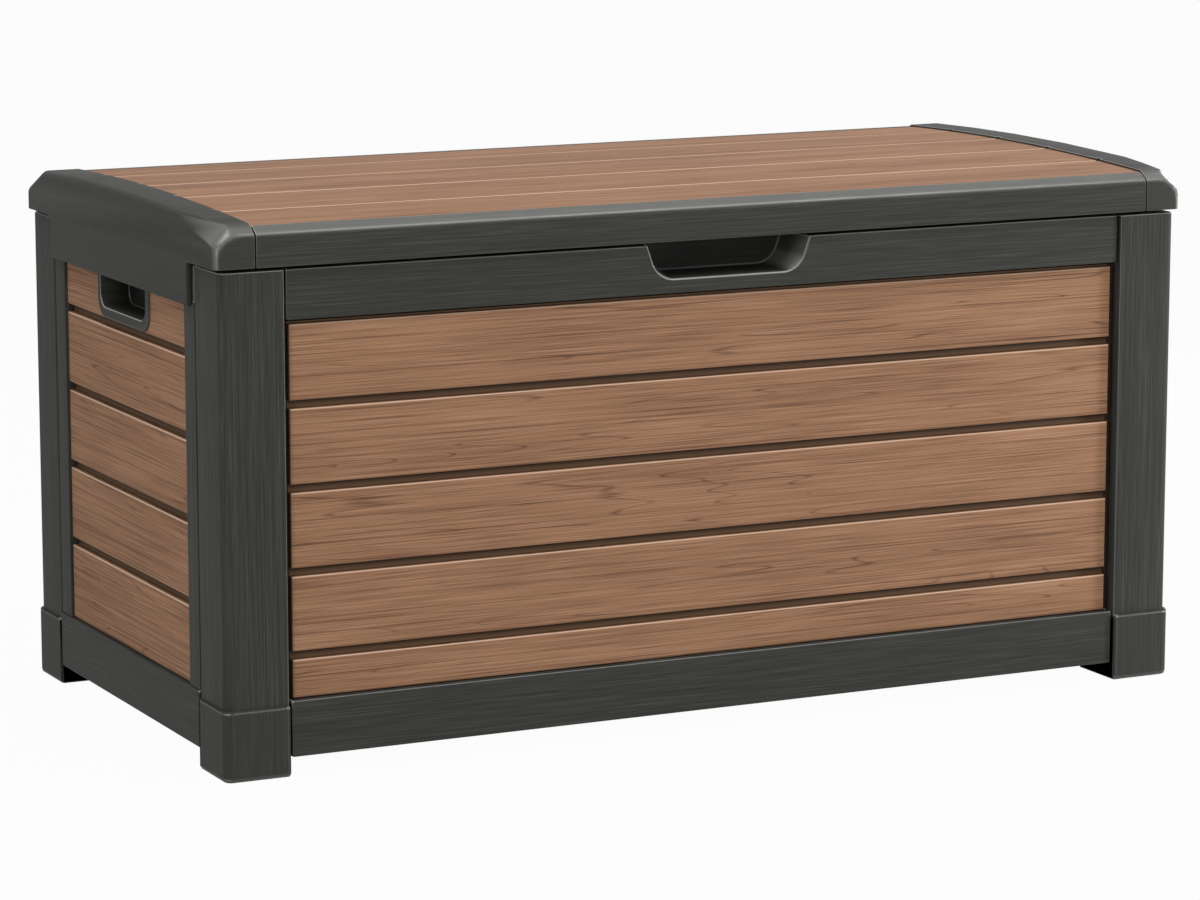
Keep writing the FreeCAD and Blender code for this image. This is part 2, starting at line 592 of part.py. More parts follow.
def cap_section(y, wall_out, wall_top, wall_in):
    """Closed section of an end cap at y, drawn in by its walls."""
    x0 = -LID_LENGTH / 2 + cap_side(y) + wall_out
    x1 = -cap_seam - wall_in
    top = cap_top(y) - wall_top
    width, drop = cap_bevel(y)
    if wall_top:
        width -= wall_out - wall_top / 4
        points = [(x0, lid_bottom), (x0, top - drop + wall_top * 3 / 4), (x0 + max(width, 1.0), top), (x1, top),
                  (x1, lid_bottom)]
        return [Vector(x, y, z) for x, z in points]
    span = math.hypot(width, drop)
    front = y + LID_DEPTH / 2
    flare = min(1.0, 4 * max(0.0, 1 - front / CAP_FLARE_LENGTH))
    ball = max(0.0, 1 - front / CAP_ROUND)
    bend = CAP_ROUND * math.tan(math.pi / 8)
    bend += flare * (CAP_FLARE_BEND - bend)
    bend = min(bend + ball * (0.48 * span - bend), 0.48 * span)
    across, up = width / span * bend, drop / span * bend
    low, high = (x0, top - drop), (x0 + width, top)
    points = [(x0, lid_bottom)]
    points += bent((x0, low[1] - bend), low, (low[0] + across, low[1] + up))
    points += bent((high[0] - across, high[1] - up), high, (high[0] + bend, top))
    points += [(x1, top), (x1, lid_bottom)]
    return [Vector(x, y, z) for x, z in points]


def flat_faces(a, b, c, d):
    """One face through four corners, or two where they don't lie in one plane."""
    normal = (b - a).cross(c - a)
    if abs(normal.dot(d - a)) < 1e-4 * normal.Length:
        return [Part.Face(Part.Wire(outline([a, b, c, d])))]
    return [Part.Face(Part.Wire(outline([a, b, c]))), Part.Face(Part.Wire(outline([a, c, d])))]


def skinned(sections):
    """A solid with flat faces between closed sections of equally many corners."""
    faces = [Part.Face(Part.Wire(outline(points))) for points in (sections[0], sections[-1])]
    for one, two in zip(sections[:-1], sections[1:]):
        for k in range(len(one)):
            n = (k + 1) % len(one)
            faces += flat_faces(one[k], one[n], two[n], two[k])
    solid = Part.Solid(Part.makeShell(faces))
    if solid.Volume < 0:
        solid.reverse()
    return solid.removeSplitter()


def cap_stations():
    """Where the sections of an end cap stand, closer together where it bends."""
    half = LID_DEPTH / 2
    knee = FRONT_RAIL_DEPTH + (CAP_STEP - FRONT_RAIL_LIP) / shoulder_slope
    front = FRONT_BEND + [CAP_ROUND, knee, (knee + CAP_FLARE_LENGTH) / 2, CAP_FLARE_LENGTH]
    back = BACK_BEND + [BACK_SLOPE_DEPTH]
    return [d - half for d in front] + [-half / 6, half / 5, half / 2] + [half - d for d in reversed(back)]


def board_edges():
    """Front and back edge of each lid board."""
    inner = (deck_back - deck_front - 2 * LID_EDGE_BOARD - (LID_BOARDS - 1) * LID_BOARD_GAP)
    width = inner / (LID_BOARDS - 2)
    edges = []
    y = deck_front
    for k in range(LID_BOARDS):
        size = LID_EDGE_BOARD if k in (0, LID_BOARDS - 1) else width
        edges.append((y, y + size))
        y += size + LID_BOARD_GAP
    return edges


def lid_cap():
    """Left end cap: a hollow moulding with a flared front corner and an apron."""
    x0, x1 = -LID_LENGTH / 2, -cap_seam
    stations = cap_stations()
    body = skinned([cap_section(y, 0.0, 0.0, 0.0) for y in stations])
    half = LID_DEPTH / 2 - CAP_TOP_WALL
    inside = [-half] + [y for y in stations if abs(y) < half - 1] + [half]
    hollow = skinned([cap_section(y, CAP_WALL, CAP_TOP_WALL, CAP_INNER_WALL) for y in inside])
    apron_half = inner_y - APRON_END_GAP
    apron = block(x0, x0 + CAP_WALL, -apron_half, apron_half, lid_bottom - APRON_DROP, lid_bottom + 1)
    apron = rounded(apron, EDGE_ROUND, lambda e: on_plane(e, "x", x0) and not on_plane(e, "z", lid_bottom + 1))
    cap = joined(body.cut(hollow), [apron])
    for (_, back), (front, _) in zip(board_edges()[:-1], board_edges()[1:]):
        y = (back + front) / 2
        cap = cap.cut(block(x1 - CAP_INNER_WALL - 1, x1, y - NOTCH_AT_CAP / 2, y + NOTCH_AT_CAP / 2,
                            crown(y) - LID_BOARD_BEVEL, crown(y) + 2 * CAP_STEP))
    return cap


def lid_front_rail():
    """Front rail of the lid: face, bevelled shoulder and a ledge under the first board."""
    x0, x1 = -cap_seam + LID_RAIL_END_GAP, cap_seam - LID_RAIL_END_GAP
    y0 = -LID_DEPTH / 2
    y_board = y0 + FRONT_RAIL_DEPTH
    ledge = crown(y_board) - LID_BOARD_THICK - SEAT
    under = ledge - LID_WALL
    face = [Vector(x0, y0 + d, cap_top(y0 + d)) for d in FRONT_BEND]
    corners = [Vector(x0, y0, lid_bottom)] + face + [
        Vector(x0, y_board, crown(y_board) + FRONT_RAIL_LIP), Vector(x0, y_board, ledge),
        Vector(x0, y_board + LEDGE_UNDER_BOARDS, ledge), Vector(x0, y_board + LEDGE_UNDER_BOARDS, under),
        Vector(x0, y0 + LID_WALL, under), Vector(x0, y0 + LID_WALL, lid_bottom)]
    return profile_along_x(outline(corners), x0, x1)


def lid_rear_rail():
    """Rear rail of the lid: sloping shoulder, ledge, and notches for the hinge knuckles."""
    x0, x1 = -cap_seam + LID_RAIL_END_GAP, cap_seam - LID_RAIL_END_GAP
    back = LID_DEPTH / 2
    y_board = slope_top - LID_WALL
    top = crown(y_board) + FRONT_RAIL_LIP
    ledge = crown(y_board) - LID_BOARD_THICK - SEAT
    under = ledge - LID_WALL
    inner_z = back_face_top - 2 * LID_WALL
    face = [Vector(x0, back - d, cap_top(back - d)) for d in BACK_BEND]
    corners = [Vector(x0, back, lid_bottom)] + face + [
               Vector(x0, slope_top, top), Vector(x0, y_board, top), Vector(x0, y_board, ledge),
               Vector(x0, y_board - LEDGE_UNDER_BOARDS, ledge),
               Vector(x0, y_board - LEDGE_UNDER_BOARDS, under), Vector(x0, slope_top + LID_WALL, under),
               Vector(x0, back - LID_WALL, inner_z), Vector(x0, back - LID_WALL, lid_bottom)]
    rail = profile_along_x(outline(corners), x0, x1)
    half = KNUCKLE_WIDTH / 2 + KNUCKLE_PLAY
    lugs = [block(x - half - LUG_WIDTH, x + half + LUG_WIDTH, hinge_y - KNUCKLE_RADIUS - LID_WALL, back,
                  lid_bottom, lid_bottom + LUG_TOP) for x in hinge_places]
    rail = joined(rail, lugs)
    lean = math.radians(LID_LEAN)
    leaf_back = top_rail_face + LEAF_THICK - hinge_y
    stop = leaf_back * math.cos(lean) + KNUCKLE_RADIUS * math.sin(lean) + SEAT
    for x in hinge_places:
        rail = rail.cut(cylinder_x(PIN_RADIUS + PIN_GRIP, x - half - LUG_WIDTH, x + half + LUG_WIDTH,
                                   hinge_y, hinge_z))
        rail = rail.cut(block(x - half, x + half, hinge_y - KNUCKLE_RADIUS - LID_WALL, back + 1,
                              lid_bottom - 1, hinge_z + KNUCKLE_RADIUS + KNUCKLE_ROOM))
        rail = rail.cut(block(x - half, x + half, hinge_y, back + 1, hinge_z - 1, hinge_z + stop))
    return rail


def lid_board(y0, y1):
    """One board of the lid: the crown curve above, a parallel curve below, bevelled edges."""
    x0, x1 = -cap_seam + LID_BOARD_END_GAP, cap_seam - LID_BOARD_END_GAP
    bevel = LID_BOARD_BEVEL
    corners = [Vector(x0, y0, crown(y0) - bevel), Vector(x0, y0, crown(y0) - LID_BOARD_THICK),
               Vector(x0, y1, crown(y1) - LID_BOARD_THICK), Vector(x0, y1, crown(y1) - bevel)]
    edges = [Part.makeLine(Vector(x0, y0 + bevel, crown(y0 + bevel)), corners[0]),
             Part.makeLine(corners[0], corners[1]),
             crown_arc(x0, y0, y1, -LID_BOARD_THICK),
             Part.makeLine(corners[2], corners[3]),
             Part.makeLine(corners[3], Vector(x0, y1 - bevel, crown(y1 - bevel))),
             crown_arc(x0, y0 + bevel, y1 - bevel, 0.0)]
    return profile_along_x(edges, x0, x1)


def lid_liner():
    """Ribbed inner panel under the boards, its rim level with the lid's underside."""
    x0, x1 = -cap_seam + SEAT, cap_seam - SEAT
    top = -LID_BOARD_THICK - SEAT
    below = top - LINER_SKIN

    def drop(y):
        return Vector(x0, y, crown(y) + below)

    skin = profile_along_x([crown_arc(x0, liner_front, liner_back, top),
                            Part.makeLine(Vector(x0, liner_back, crown(liner_back) + top), drop(liner_back)),
                            crown_arc(x0, liner_front, liner_back, below),
                            Part.makeLine(drop(liner_front), Vector(x0, liner_front, crown(liner_front) + top))],
                           x0, x1)
    room = profile_along_x([crown_arc(x0, liner_front, liner_back, below + LINER_SKIN / 2),
                            Part.makeLine(Vector(x0, liner_back, crown(liner_back) + below + LINER_SKIN / 2),
                                          Vector(x0, liner_back, lid_bottom)),
                            Part.makeLine(Vector(x0, liner_back, lid_bottom), Vector(x0, liner_front, lid_bottom)),
                            Part.makeLine(Vector(x0, liner_front, lid_bottom),
                                          Vector(x0, liner_front, crown(liner_front) + below + LINER_SKIN / 2))],
                           x0, x1)
    top_z = lid_bottom + LID_CROWN
    low = lid_bottom + LINER_RIB_LIFT
    rim = [block(x0, x1, liner_front, liner_front + LINER_RIB, lid_bottom, top_z),
           block(x0, x1, liner_back - LINER_RIB, liner_back, lid_bottom, top_z),
           block(x0, x0 + LINER_RIB, liner_front, liner_back, lid_bottom, top_z),
           block(x1 - LINER_RIB, x1, liner_front, liner_back, lid_bottom, top_z)]
    ribs = []
    for k in range(1, LINER_RIBS_ACROSS + 1):
        x = x0 + k * (x1 - x0) / (LINER_RIBS_ACROSS + 1)
        ribs.append(block(x - LINER_RIB / 2, x + LINER_RIB / 2, liner_front, liner_back, low, top_z))
    for k in range(1, LINER_RIBS_ALONG + 1):
        y = liner_front + k * (liner_back - liner_front) / (LINER_RIBS_ALONG + 1)
        ribs.append(block(x0, x1, y - LINER_RIB / 2, y + LINER_RIB / 2, low, top_z))
    grid = rim[0].multiFuse(rim[1:] + ribs)
    return joined(skin, [grid.common(room)])


def leaf_screw_places(x):
    """Where the four screws of one hinge leaf stand."""
    top = BODY_HEIGHT - LEAF_TOP_MARGIN
    return [(x + sx * (LEAF_WIDTH / 2 - SCREW_INSET), z)
            for sx in (-1, 1) for z in (BODY_HEIGHT - LEAF_DROP + SCREW_INSET, top - SCREW_INSET)]


def screw_prism(radius0, radius1, x, z, y0, y1):
    """A many-sided stub along Y that stands for a small turned shape."""
    rings = []
    for radius, y in ((radius0, y0), (radius1, y1)):
        turns = [2 * math.pi * k / SCREW_SIDES for k in range(SCREW_SIDES)]
        points = [Vector(x + radius * math.cos(a), y, z + radius * math.sin(a)) for a in turns]
        rings.append(Part.makePolygon(points + [points[0]]))
    return Part.makeLoft(rings, True, True)


def hinge_leaf(x):
    """Steel leaf on the rear rail: plate, neck and knuckle."""
    y0 = top_rail_face
    y1 = y0 + LEAF_THICK
    plate = block(x - LEAF_WIDTH / 2, x + LEAF_WIDTH / 2, y0, y1, BODY_HEIGHT - LEAF_DROP,
                  BODY_HEIGHT - LEAF_TOP_MARGIN)
    plate = bevelled(plate, EDGE_BEVEL, lambda e: abs(e.Length - LEAF_THICK) < 0.01)
    neck = block(x - KNUCKLE_WIDTH / 2, x + KNUCKLE_WIDTH / 2, y0, y1,
                 BODY_HEIGHT - LEAF_TOP_MARGIN - EDGE_ROUND, hinge_z)
    knuckle = cylinder_x(KNUCKLE_RADIUS, x - KNUCKLE_WIDTH / 2, x + KNUCKLE_WIDTH / 2, hinge_y, hinge_z)
    leaf = joined(plate, [neck, knuckle])
    leaf = leaf.cut(cylinder_x(PIN_RADIUS + PIN_PLAY, x - KNUCKLE_WIDTH / 2, x + KNUCKLE_WIDTH / 2,
                               hinge_y, hinge_z))
    for px, pz in leaf_screw_places(x):
        leaf = leaf.cut(screw_prism(SCREW_SHANK + SCREW_PLAY, SCREW_SHANK + SCREW_PLAY, px, pz, y0, y1))
    return leaf


def hinge_pin(x):
    half = KNUCKLE_WIDTH / 2 + KNUCKLE_PLAY + LUG_WIDTH
    return cylinder_x(PIN_RADIUS, x - half, x + half, hinge_y, hinge_z)


def hinge_screws():
    """Domed screws that hold the three leaves to the rear rail."""
    screws = []
    for x in hinge_places:
        for px, pz in leaf_screw_places(x):
            y = top_rail_face + LEAF_THICK
            head = screw_prism(SCREW_HEAD, SCREW_HEAD - SCREW_HEAD_HEIGHT / 2, px, pz, y, y + SCREW_HEAD_HEIGHT)
            shank = screw_prism(SCREW_SHANK / 2, SCREW_SHANK, px, pz, y - SCREW_LENGTH - LEAF_THICK, y)
            screws.append(joined(head, [shank]))
    return Part.makeCompound(screws)


def rear_top_rail():
    """Plain top rail behind, with the holes for the hinge screws."""
    rail = mirrored(top_rail(), "y")
    for x in hinge_places:
        for px, pz in leaf_screw_places(x):
            rail = rail.cut(screw_prism(SCREW_SHANK / 2 + SCREW_PLAY, SCREW_SHANK + SCREW_PLAY, px, pz,
                                        top_rail_face - SCREW_LENGTH - SEAT, top_rail_face))
    return rail


def bumper(x):
    """Rubber bumper on the front rail, under the liner's rim."""
    y = liner_front + LINER_RIB / 2
    body = block(x - BUMPER_LENGTH / 2, x + BUMPER_LENGTH / 2, y - BUMPER_WIDTH / 2, y + BUMPER_WIDTH / 2,
                 BODY_HEIGHT, lid_bottom - SEAT)
    return bevelled(body, BUMPER_BEVEL, lambda e: abs(e.BoundBox.ZLength - LID_GAP + SEAT) < 0.01)


def all_parts():
    """Every piece of the box by name."""
    parts = {}
    for kind, shape in (("post", post()), ("foot", foot())):
        parts[kind + "_front_left"] = shape
        parts[kind + "_front_right"] = mirrored(shape, "x")
        parts[kind + "_rear_left"] = mirrored(shape, "y")
        parts[kind + "_rear_right"] = mirrored(mirrored(shape, "x"), "y")
    wall = front_wall()
    parts["wall_front"] = wall
    parts["wall_rear"] = mirrored(wall, "y")
    rail = front_bottom_rail()
    parts["bottom_rail_front"] = rail
    parts["bottom_rail_rear"] = mirrored(rail, "y")
    parts["top_rail_front"] = front_top_rail()
    parts["top_rail_rear"] = rear_top_rail()
    for name, shape in (("wall", side_wall()), ("skirt", side_skirt()), ("handle_rail", handle_rail())):
        parts[name + "_left"] = to_left(shape)
        parts[name + "_right"] = to_right(shape)
    strip = stile()
    other = mirrored(strip, "x")
    parts["stile_front_left"] = to_left(strip)
    parts["stile_rear_left"] = to_left(other)
    parts["stile_rear_right"] = to_right(strip)
    parts["stile_front_right"] = to_right(other)
    parts["floor_panel"] = floor_panel()
    cap = lid_cap()
    parts["lid_cap_left"] = cap
    parts["lid_cap_right"] = mirrored(cap, "x")
    parts["lid_rail_front"] = lid_front_rail()
    parts["lid_rail_rear"] = lid_rear_rail()
    for number, (y0, y1) in enumerate(board_edges(), 1):
        parts["lid_board_%d" % number] = lid_board(y0, y1)
    parts["lid_liner"] = lid_liner()
    for name, x in zip(("left", "middle", "right"), hinge_places):
        parts["hinge_leaf_" + name] = hinge_leaf(x)
        parts["hinge_pin_" + name] = hinge_pin(x)
    parts["hinge_screws"] = hinge_screws()
    parts["bumper_left"] = bumper(-bumper_x)
    parts["bumper_right"] = bumper(bumper_x)
    return parts


os.makedirs("parts", exist_ok=True)
for node, shape in all_parts().items():
    shape.exportStep("parts/%s.step" % node)
    print("%-20s solids %d  valid %s  volume %.1f cm3" % (node, len(shape.Solids), shape.isValid(),
                                                        shape.Volume / 1000))
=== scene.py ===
# %% [markdown]
# # An outdoor storage box in moulded resin
#
# The real object is a deck box. Brown wood-look panels are held in a graphite frame of posts and
# rails, and a crowned lid turns on three pins behind. All but the hinges and bumpers is
# polypropylene from a steel mould, which gives it its shape, its soft edges and its wood grain.
#
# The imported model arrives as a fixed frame, in metres, with Z up and the front towards -Y. This
# lesson adds a camera, light, finishes, and surfaces for the pieces that the eye rests on.

# %% Load the frame
import json
import math
from functools import partial

import bmesh
import bpy
import numpy as np
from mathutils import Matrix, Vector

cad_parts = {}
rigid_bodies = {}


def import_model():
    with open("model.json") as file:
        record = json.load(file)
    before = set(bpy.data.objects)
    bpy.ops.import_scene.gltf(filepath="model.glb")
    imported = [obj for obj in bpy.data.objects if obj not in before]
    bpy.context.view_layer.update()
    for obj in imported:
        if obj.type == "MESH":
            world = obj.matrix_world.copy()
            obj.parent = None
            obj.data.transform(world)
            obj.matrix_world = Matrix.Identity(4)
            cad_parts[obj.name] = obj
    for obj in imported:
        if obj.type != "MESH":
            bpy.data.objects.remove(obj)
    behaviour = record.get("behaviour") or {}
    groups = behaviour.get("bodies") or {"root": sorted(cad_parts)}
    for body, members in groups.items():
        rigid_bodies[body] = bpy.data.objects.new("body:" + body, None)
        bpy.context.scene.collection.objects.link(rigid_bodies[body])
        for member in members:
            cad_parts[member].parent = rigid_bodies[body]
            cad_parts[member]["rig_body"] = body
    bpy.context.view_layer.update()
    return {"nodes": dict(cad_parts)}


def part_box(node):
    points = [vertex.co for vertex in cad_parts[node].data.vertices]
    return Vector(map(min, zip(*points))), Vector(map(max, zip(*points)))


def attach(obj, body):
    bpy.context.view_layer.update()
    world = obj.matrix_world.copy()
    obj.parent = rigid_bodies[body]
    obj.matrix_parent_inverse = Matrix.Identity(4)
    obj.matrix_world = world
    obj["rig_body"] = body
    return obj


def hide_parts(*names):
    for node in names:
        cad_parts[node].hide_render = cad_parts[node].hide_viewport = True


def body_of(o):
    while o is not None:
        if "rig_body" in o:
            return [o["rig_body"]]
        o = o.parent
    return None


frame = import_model()
nodes = frame["nodes"]
MM = 0.001

# %% [markdown]
# ## The camera
#
# A product picture is taken from far away with a long lens, so that upright edges stay almost
# parallel. The place, the turn and the focal length could be found by eye. Here they come from
# solving the camera from the corners of the lid, the posts and the feet, which is more exact. The
# picture plane isn't shifted, so that the same camera can also be turned round the box.

# %% Place the camera
camera_data = bpy.data.cameras.new("camera")
camera_data.sensor_fit = "HORIZONTAL"
camera_data.sensor_width = 36.0
camera_data.lens = 133.57
camera_data.clip_end = 60.0
camera = bpy.data.objects.new("camera", camera_data)
camera.location = (-2.4195, -4.9261, 1.2710)
camera.rotation_euler = (math.radians(79.82), 0.0, math.radians(-26.12))
bpy.context.scene.collection.objects.link(camera)
bpy.context.scene.camera = camera
print("camera: %.2f m from the origin, lens %.0f mm" % (camera.location.length, camera_data.lens))

# %% [markdown]
# ## Colours and nodes
#
# A colour that is picked from a swatch is an sRGB value, while the renderer adds up light in
# linear values, so one function turns the first into the second. A material is a tree of nodes.
# It could be wired up by hand in the shader editor. Here one function adds a node with its
# settings and its links, so that each material reads as a list of steps.

# %% Helpers for materials
def linear(colour):
    """Linear RGBA of an sRGB hex colour: each channel c becomes ((c + 0.055) / 1.055) ** 2.4."""
    channels = np.array([int(colour[k:k + 2], 16) for k in (1, 3, 5)]) / 255
    low = channels / 12.92
    high = ((channels + 0.055) / 1.055) ** 2.4
    return (*np.where(channels <= 0.04045, low, high).tolist(), 1.0)


def add_node(tree, kind, inputs=(), **settings):
    """Adds a node. The settings are its properties. The inputs go by name, or in the order of the
    sockets, and each is a value, another node's output, or a node whose first output is meant."""
    node = tree.nodes.new("ShaderNode" + kind)
    for name, value in settings.items():
        setattr(node, name, value)
    pairs = inputs.items() if isinstance(inputs, dict) else enumerate(inputs)
    for socket, value in pairs:
        if isinstance(value, bpy.types.Node):
            value = value.outputs[0]
        if isinstance(value, bpy.types.NodeSocket):
            tree.links.new(value, node.inputs[socket])
        else:
            node.inputs[socket].default_value = value
    return node


def new_material(name):
    """An empty material, and the function that adds a node to it."""
    material = bpy.data.materials.new(name)
    material.use_nodes = True
    material.node_tree.nodes.clear()
    return material, partial(add_node, material.node_tree)


def set_stops(ramp, *stops):
    """Gives a colour ramp its places and hex colours."""
    while len(ramp.color_ramp.elements) < len(stops):
        ramp.color_ramp.elements.new(0.5)
    for element, (place, colour) in zip(ramp.color_ramp.elements, stops):
        element.position = place
        element.color = linear(colour)


def seen_directly(add):
    """1 for what the camera sees, also in a reflection or through glass, and 0 for other light."""
    path = add("LightPath")
    seen = path.outputs["Is Camera Ray"]
    for kind in ("Is Glossy Ray", "Is Transmission Ray"):
        seen = add("Math", [seen, path.outputs[kind]], operation="MAXIMUM")
    return seen


print("the sRGB grey #808080 is %.3f in linear light" % linear("#808080")[0])

# %% [markdown]
# ## The floor and the light
#
# The box stands on a white studio floor that runs out to a white horizon. A plane would do, but its
# corners could show from another side, so the floor is a disc, a function of an angle and a
# distance. To the camera it is nearly white. To everything else it is a plain pale surface, so it
# still takes the soft shadow of the box.

# %% The studio floor
FLOOR_RINGS, FLOOR_TURNS = np.array([0.02, 1.0, 3.0, 9.0, 27.0, 60.0]), 48
FLOOR_WHITE = 0.965  # The share of plain white that the camera sees. The rest is the paint.


def disc_surface(radii, turns):
    """Points (r cos a, r sin a, 0) for each distance r and each angle a, and quads between them."""
    angle = np.linspace(0, 2 * np.pi, turns, endpoint=False)
    r, a = np.meshgrid(radii, angle, indexing="ij")
    points = np.stack([r * np.cos(a), r * np.sin(a), np.zeros_like(r)], axis=-1).reshape(-1, 3)
    index = np.arange(points.shape[0]).reshape(r.shape)
    after = np.roll(index, -1, axis=1)
    faces = np.stack([index[:-1], index[1:], after[1:], after[:-1]], axis=-1).reshape(-1, 4)
    return points, faces


def floor_material():
    """Matte white paint on the studio floor."""
    material, add = new_material("studio_floor_matte_paint")
    matte = add("BsdfDiffuse", {"Color": linear("#C2C2C2")})
    glow = add("Emission", {"Color": linear("#FFFFFF"), "Strength": 1.0})
    share = add("Math", [seen_directly(add), FLOOR_WHITE], operation="MULTIPLY")
    add("OutputMaterial", {"Surface": add("MixShader", [share, matte, glow])})
    return material


floor_points, floor_faces = disc_surface(FLOOR_RINGS, FLOOR_TURNS)
floor_mesh = bpy.data.meshes.new("studio_floor")
floor_mesh.from_pydata(floor_points, [], [*floor_faces.tolist(), list(range(FLOOR_TURNS))])
floor_mesh.materials.append(floor_material())
floor = bpy.data.objects.new("studio_floor", floor_mesh)
bpy.context.scene.collection.objects.link(floor)
print("floor: %d faces, %.0f m out" % (len(floor_mesh.polygons), FLOOR_RINGS.max()))

# %% [markdown]
# Area lamps stand in for the soft boxes of a photo studio. A picture of a studio could light the
# box as well, but a lamp can be placed by itself. The wide one in front lights the boards. Each
# narrow strip stands where one row of edges mirrors it to the eye: the strip above draws the bright
# line along the lid, and the low one on the right draws it down the posts. The world fills the
# shadows, and is white to the camera and in reflections.

# %% Lamps and world
WORLD_FILL = 0.31


def softbox(name, place, aim, size, watts):
    """An area lamp of a width and a height at a place, turned towards a point."""
    data = bpy.data.lights.new(name, "AREA")
    data.shape = "RECTANGLE"
    data.size, data.size_y = size
    data.energy = watts
    lamp = bpy.data.objects.new(name, data)
    x, y, z = np.array(aim) - np.array(place)
    lamp.rotation_euler = (math.atan2(math.hypot(x, y), -z), 0.0, math.atan2(-x, y))
    lamp.location = place
    bpy.context.scene.collection.objects.link(lamp)


softbox("strip_above", (1.3, -1.2, 3.0), (1.3, 0.0, 0.55), (2.2, 0.45), 27.5)
softbox("spot_above_left", (-1.4, -0.6, 2.9), (0.0, 0.0, 0.5), (0.75, 0.75), 20)
softbox("softbox_front", (0.5, -4.2, 0.8), (0.0, 0.0, 0.3), (1.6, 0.8), 25)
softbox("strip_left", (-2.6, -1.9, 1.2), (-0.2, 0.0, 0.4), (0.7, 1.6), 18)
softbox("strip_right", (2.75, -1.1, 0.42), (0.4, -0.3, 0.4), (0.35, 0.75), 40)
softbox("strip_behind", (2.4, 0.7, 1.3), (0.5, 0.0, 0.5), (0.6, 0.9), 22)

world = bpy.data.worlds.new("studio_world")
bpy.context.scene.world = world
world.use_nodes = True
world.node_tree.nodes.clear()
add_air = partial(add_node, world.node_tree)
fill = add_air("Background", {"Color": linear("#FFFFFF"), "Strength": WORLD_FILL})
white = add_air("Background", {"Color": linear("#FFFFFF"), "Strength": 1.0})
add_air("OutputWorld", {"Surface": add_air("MixShader", [seen_directly(add_air), fill, white])})
bpy.context.scene.view_settings.view_transform = "Standard"
print("lamps:", len(bpy.data.lights))

# %% [markdown]
# ## Graphite resin
#
# The frame is polypropylene, coloured all through and moulded against steel with a brushed wood
# grain. That gives the eye a dark warm grey and fine streaks that run along each piece. A picture
# of such resin could be wrapped round the pieces, but a noise that is drawn out in one direction
# has no seams. Real streaks are 0.3 to 1 mm apart. They are drawn at 1.2 mm, because finer ones
# don't show at this distance. The posts have upright streaks and the rails level ones, so one
# function makes both from the directions in which the noise is drawn out.
#
# The steel is polished where a piece bends, so the resin is smooth and shiny there. The normal
# tells where that is: on a flat face one of its three parts is near 1, and on a bend none is.
# Three attributes say how polished each vertex is, how much painted highlight its upward-facing
# edges get, and its depth in a hand hold or a top rail's recess, where the colour is painted darker
# as shade.
#
# In these recipes Map Range takes a value, the range that it comes from and the range that it goes
# to, and Math takes its values.

# %% Streaks and bends
NOISE = (0.3, 0.7)  # A noise hardly ever leaves this range.


def brushed_grain(add, place, grain):
    """Fine streaks and broad bands: two noises, each drawn out along the piece by its own scale."""
    noises = []
    for scale, detail in zip(grain, (3.0, 2.0)):
        drawn = add("Mapping", {"Vector": place, "Scale": scale})
        noises.append(add("TexNoise", {"Vector": drawn, "Scale": 1.0, "Detail": detail,
                                       "Roughness": 0.6}))
    return noises


def bent_and_highlit(add, normal, highlight_everywhere):
    """How far a surface bends, which is where the largest part of its normal is small, and how much
    painted highlight it gets, which is where it faces up. Undersides are never polished. Unless the
    highlight goes on the whole piece, the attributes for polish and for the highlight's share weaken
    both."""
    facing = add("SeparateXYZ", [normal])
    up = facing.outputs[2]
    x, y, z = [add("Math", [part], operation="ABSOLUTE") for part in facing.outputs]
    largest = add("Math", [add("Math", [x, y], operation="MAXIMUM"), z], operation="MAXIMUM")
    # The largest part is 0.985 at 10 degrees off an axis, and 0.84 at 33 degrees.
    bent = add("MapRange", [largest, 0.84, 0.985, 1.0, 0.0])
    bent = add("Math", [bent, add("MapRange", [up, -0.6, -0.1, 0.0, 1.0])], operation="MULTIPLY")
    edge_highlight = add("MapRange", [up, 0.1, 0.6, 0.1, 0.8])
    if highlight_everywhere:
        return bent, edge_highlight
    polish, highlight_share = [add("Attribute", attribute_name=k).outputs["Fac"] for k in ("polish", "highlight_share")]
    bent = add("Math", [bent, polish], operation="MULTIPLY")
    edge_highlight = add("Math", [edge_highlight, highlight_share], operation="MULTIPLY")
    return bent, add("Math", [edge_highlight, bent], operation="MULTIPLY")


print("a noise is taken to run from %.1f to %.1f" % NOISE)

# %% Graphite finishes
RESIN_IOR = 1.49


